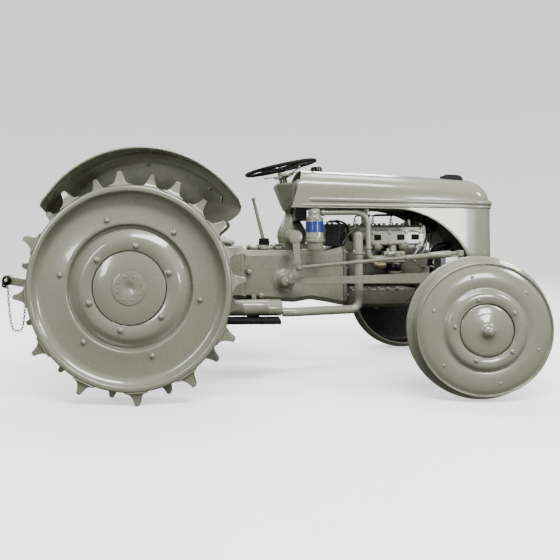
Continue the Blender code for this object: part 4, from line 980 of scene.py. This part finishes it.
def cooling():
    hoses = start()
    tube(hoses, bend((at(1.64, 0, 0.905), at(1.64, 0, 0.965), at(1.78, 0, 1.04), at(1.845, 0, 1.045)),
        0.05), 0.024, 20)
    tube(hoses, bend((at(1.7, -0.09, 0.62), at(1.76, -0.12, 0.76), at(1.842, -0.12, 0.775)), 0.04), 0.02,
        18)
    keep(hoses, "coolant_hoses", RUBBER, angle=60)

    fan = start()
    hub = at(1.79, 0, 0.88)
    lathe(fan, hub, "X", ((0, -0.09), (0.03, -0.09), (0.045, -0.06), (0.045, -0.03), (0.03, -0.02),
        (0.03, 0.016), (0, 0.018)), 28)
    for index in range(4):
        turn = TAU * index / 4 + 0.5
        spoke = Vector((0, cos(turn), sin(turn)))
        edge = Vector((0, -sin(turn), cos(turn)))
        loops = []
        for reach, half, twist in ((0.025, 0.016, 0.01), (0.08, 0.034, 0.016), (0.165, 0.042, 0.012)):
            loops.append([hub + spoke * reach + edge * half * a + Vector((twist * a + 0.0015 * b, 0, 0))
                for a, b in CORNERS])
        loft(fan, loops)
    keep(fan, "cooling_fan", BLACK, bevel=0.001)


def sump_bolts():
    pan_bolts = start()
    for x in (1.245, 1.3, 1.355, 1.41, 1.465, 1.52):
        for side in SIDES.values():
            hex_bolt(pan_bolts, at(x, side * 0.1345, 0.515), (0, side, 0), 0.007, 0.006)
    lathe(pan_bolts, at(1.417, -0.06, 0), "Z", ((0, 0.378), (0.012, 0.378), (0.016, 0.384), (0.016, 0.399),
        (0, 0.399)), 6)
    keep(pan_bolts, "oil_pan_bolts", CAST, angle=40)


def far_side_units():
    other = start()
    lathe(other, at(1.45, 0.195, 0.8), "X", ((0, 0.0), (0.04, 0.0), (0.055, 0.01), (0.055, 0.15),
        (0.042, 0.16), (0.042, 0.172), (0.03, 0.18), (0, 0.18)), 32)
    box(other, at(1.49, 0.124, 0.76), at(1.56, 0.17, 0.8))
    lathe(other, at(1.34, 0.185, 0), "Z", ((0, 0.6), (0.044, 0.6), (0.048, 0.608), (0.048, 0.775),
        (0.05, 0.78), (0.044, 0.8), (0.012, 0.806), (0.01, 0.816), (0, 0.816)), 32)
    box(other, at(1.32, 0.124, 0.64), at(1.36, 0.17, 0.7))
    keep(other, "generator_and_filter", CAST, angle=40)


def battery():
    lowest, highest = low("battery"), high("battery")
    case = start()
    box(case, lowest, highest - Vector((0, 0, 0.018)))
    box(case, lowest + Vector((-0.003, -0.003, 0.112)), highest + Vector((0.003, 0.003, 0)))
    keep(case, "battery_case", BLACK, ("battery",), bevel=0.004)
    shield = start()
    box(shield, at(0.905, -0.215, 0.925), at(0.975, 0.215, 1.003))
    box(shield, at(1.181, -0.148, 0.79), at(1.214, 0.058, 0.906))
    keep(shield, "battery_shields", BLACK, bevel=0.004)
    posts = start()
    cables = start()
    for y in (lowest.y + 0.03, highest.y - 0.03):
        foot = Vector(((lowest.x + highest.x) / 2, y, highest.z))
        lathe(posts, foot, "Z", ((0, -0.002), (0.01, -0.002), (0.008, 0.014), (0, 0.014)), 16)
        tube(cables, bend((foot + Vector((0, 0, 0.01)), foot + Vector((0.03, 0, 0.022)),
            foot + Vector((0.09, -0.01, 0.0)), foot + Vector((0.11, -0.01, -0.1))), 0.03), 0.006, 10)
    keep(posts, "battery_posts", STEEL, angle=40)
    keep(cables, "battery_cables", RUBBER, angle=60)


def drag_sleeves():
    for word, side in SIDES.items():
        work = start()
        rear_end, front_end = at(0.913, side * 0.283, 0.655), at(1.794, side * 0.41, 0.737)
        for begin, end, radius in ((0.66, 0.8, 0.0155), (0.8, 0.93, 0.0195)):
            one, two = rear_end.lerp(front_end, begin), rear_end.lerp(front_end, end)
            reach = (two - one).length
            lathe(work, one, two - one, ((0, 0), (radius - 0.003, 0), (radius, 0.004),
                (radius, reach - 0.004), (radius - 0.003, reach), (0, reach)), 20)
        keep(work, f"drag_link_{word}_sleeve", SHEET, body=f"drag_link_{word}", angle=40)


def casting_bolts():
    work = start()
    cover_top = high("gear_cover").z - 0.012
    for x in (0.64, 0.7, 0.79, 0.85, 0.96, 1.06):
        for side in SIDES.values():
            y = 0.088 if x > 0.66 else 0.05
            hex_bolt(work, at(x, side * y, cover_top), (0, 0, 1), 0.008, 0.009)
    for side in SIDES.values():
        for x, z in ((0.632, 0.621), (0.7, 0.478)):
            lathe(work, at(x, side * 0.146, z), (0, side, 0),
                ((0, 0), (0.018, 0), (0.017, 0.01), (0.011, 0.014), (0.011, 0.026), (0.008, 0.03),
                (0, 0.03)), 20)
        for z in (0.48, 0.56, 0.64, 0.73):
            hex_bolt(work, at(0.602, side * 0.16, z), (1, 0, 0), 0.009, 0.009)
            hex_bolt(work, at(1.215, side * 0.16, z), (1, 0, 0), 0.009, 0.009)
        for turn in range(0, 360, 60):
            rad = radians(turn)
            hex_bolt(work, at(0.145 * cos(rad), side * 0.47, 0.592 + 0.145 * sin(rad)), (0, -side, 0),
                0.009, 0.008)
    for x in (0.0, 0.1, 0.2, 0.3, 0.4):
        for side in SIDES.values():
            hex_bolt(work, at(x, side * 0.118, high("lift_cover").z - 0.022 - 0.03 * max(0, x - 0.1)),
                (0, 0, 1), 0.008, 0.008)
    keep(work, "casting_bolts", CAST, angle=40)


def drop_arm_bolts():
    for word, side in SIDES.items():
        arm = start()
        hex_bolt(arm, at(0.913, side * 0.302, 0.655), (0, side, 0), 0.012, 0.012)
        lathe(arm, at(0.902, side * 0.25, 0.831), (0, side, 0),
            ((0, 0), (0.036, 0.002), (0.034, 0.008), (0.018, 0.011), (0, 0.012)), 28)
        keep(arm, f"drop_arm_{word}_bolts", CAST, body=f"drop_arm_{word}", angle=40)


# ------------------------------------------------------------- hitch and chain
def chain():
    end = at(-0.74, -0.42, 0.611)
    begin = end + Vector((0, 0, -0.0303))
    finish_at = end + Vector((0.095, 0.019, -0.0447))
    drop = 0.25
    points = []
    for step in range(241):
        share = step / 240
        points.append(begin.lerp(finish_at, share) - Vector((0, 0,
            drop * (1 - (2 * share - 1) ** 4) ** 0.8)))
    pitch = 0.0165
    places, travelled, target = [], 0.0, pitch / 2
    for one, two in zip(points, points[1:]):
        step_length = (two - one).length
        while travelled + step_length >= target:
            share = (target - travelled) / step_length
            places.append((one.lerp(two, share), (two - one).normalized()))
            target += pitch
        travelled += step_length
    links = start()
    for index, (place, along) in enumerate(places):
        flat = along.cross(Vector((0, 1, 0))).normalized()
        across = flat if index % 2 else along.cross(flat).normalized()
        ring = []
        for step in range(16):
            turn = TAU * step / 16
            ring.append(place + along * 0.0112 * cos(turn) + across * 0.0066 * sin(turn))
        tube(links, ring, 0.0019, 6, closed=True)
    keep(links, "hitch_chain_links", BLACK, ("hitch_chain",), body="lower_link_right", angle=60)
    shackle = start()
    for side in (-1, 1):
        lathe(shackle, end + Vector((0, side * 0.015, 0)), (0, side, 0),
            ((0, 0), (0.026, 0), (0.026, 0.006), (0.02, 0.009), (0, 0.009)), 24)
    tube(shackle, bend((end + Vector((-0.02, -0.017, -0.006)), end + Vector((-0.024, -0.017, -0.034)),
        end + Vector((-0.006, 0.0, -0.04)), end + Vector((-0.024, 0.017, -0.034)),
        end + Vector((-0.02, 0.017, -0.006))), 0.01), 0.0055, 10)
    keep(shackle, "link_shackle", BLACK, body="lower_link_right", angle=40)
    pin = start()
    lathe(pin, end + Vector((0, -0.034, 0)), (0, 1, 0), ((0, 0), (0.009, 0.001), (0.0105, 0.004),
        (0.0105, 0.064), (0.009, 0.067), (0, 0.068)), 20)
    keep(pin, "link_pin", STEEL, body="lower_link_right", angle=40)


# ------------------------------------------------------------- floor and light
BACKDROP_GLOW = 0.8


def stage_set():
    material, tree, shader = new_material("pale_backdrop")
    colour = ramp(tree, noise(tree, 0.4, 2.0), ((0.3, (0.9, 0.9, 0.9)), (0.7, (0.93, 0.93, 0.93))))
    tree.links.new(colour, shader.inputs["Base Color"])
    put(shader, Roughness=0.8, Emission_Color=(1, 1, 1, 1), Emission_Strength=BACKDROP_GLOW)
    profile = [(0, 0), (9.0, 0)]
    profile += [(9.0 + 4.0 * sin(radians(turn)), 4.0 * (1 - cos(radians(turn))))
        for turn in range(9, 91, 9)]
    profile += [(13.0, 14.0)]
    work = start()
    rings = [[work.verts.new((0, 0, 0))]]
    for radius, z in profile[1:]:
        rings.append([work.verts.new((radius * cos(TAU * step / 96), radius * sin(TAU * step / 96), z))
            for step in range(96)])
    for one, two in zip(rings, rings[1:]):
        for step in range(96):
            after = (step + 1) % 96
            corners = (one[0], two[step], two[after]) if len(one) == 1 else (one[step], two[step],
                two[after], one[after])
            work.faces.new(corners)
    mesh = bpy.data.meshes.new("backdrop")
    work.to_mesh(mesh)
    work.free()
    ground = add_object("backdrop", mesh)
    mesh.materials.append(material)
    mesh.shade_smooth()
    ground.visible_diffuse = False
    ground.visible_glossy = False
    ground.visible_shadow = False


def lamp(name, place, aim, width, height, power):
    data = bpy.data.lights.new(name, "AREA")
    data.shape = "RECTANGLE"
    data.size = width
    data.size_y = height
    data.energy = power
    made = add_object(name, data)
    made.location = place
    made.rotation_euler = (Vector(aim) - Vector(place)).to_track_quat("-Z", "Y").to_euler()


def camera():
    data = bpy.data.cameras.new("camera")
    data.lens = data.sensor_width * CAMERA_FOCAL
    data.shift_x, data.shift_y = CAMERA_SHIFT
    made = add_object("camera", data)
    made.matrix_world = (Matrix.Translation(at(*CAMERA_PLACE)) @ Matrix.Rotation(CAMERA_YAW, 4, "Z")
        @ Matrix.Rotation(CAMERA_ROLL, 4, "Y") @ Matrix.Rotation(pi / 2, 4, "X"))
    bpy.context.scene.camera = made


def daylight():
    world = bpy.data.worlds.new("world")
    world.use_nodes = True
    tree = world.node_tree
    split = new_node(tree, "SeparateXYZ")
    rise = new_node(tree, "MapRange", From_Min=-0.5, From_Max=1.0)
    tree.links.new(new_node(tree, "TexCoord").outputs["Generated"], split.inputs["Vector"])
    tree.links.new(split.outputs["Z"], rise.inputs["Value"])
    sky = ramp(tree, rise.outputs["Result"], ((0.22, (0.1, 0.1, 0.09)), (0.42, (0.55, 0.55, 0.54)),
        (1.0, (1, 1, 1))))
    tree.links.new(sky, put(tree.nodes["Background"], Strength=0.75).inputs["Color"])
    bpy.context.scene.world = world


for word, side in SIDES.items():
    rear_wheel(word, side)
    front_wheel(word, side)
    fender(word, side)
hood()
grille()
caps()
castings()
steering()
gear_lever()
seat()
air_cleaner()
exhaust()
manifold()
carburettor()
control_rods()
ignition()
cylinder_head()
cooling()
sump_bolts()
far_side_units()
battery()
casting_bolts()
drop_arm_bolts()
drag_sleeves()
chain()
radiator = bpy.data.objects["radiator"]
radiator.data.materials.clear()
radiator.data.materials.append(CORE)

camera()
stage_set()
daylight()
lamp("key", (0.6, -3.2, 4.6), (0.3, 0, 0.6), 3.6, 1.0, 370)
lamp("front_fill", (4.2, -2.6, 2.6), (0.9, 0, 0.6), 1.0, 1.0, 110)
lamp("low_strip", (-2.8, -4.4, 1.6), (-0.6, 0, 0.6), 0.5, 1.6, 60)
lamp("front_low", (2.6, -4.4, 0.9), (1.1, -0.7, 0.35), 0.7, 0.7, 55)
lamp("overhead", (0, 1.2, 5.0), (0, 0, 0.5), 5.0, 2.0, 220)
lamp("left_fill", (1.0, 4.5, 3.5), (0.1, 0, 0.6), 3.0, 1.5, 170)
lamp("rear_fill", (-4.0, 3.5, 3.0), (-0.3, 0, 0.6), 2.5, 2.5, 120)
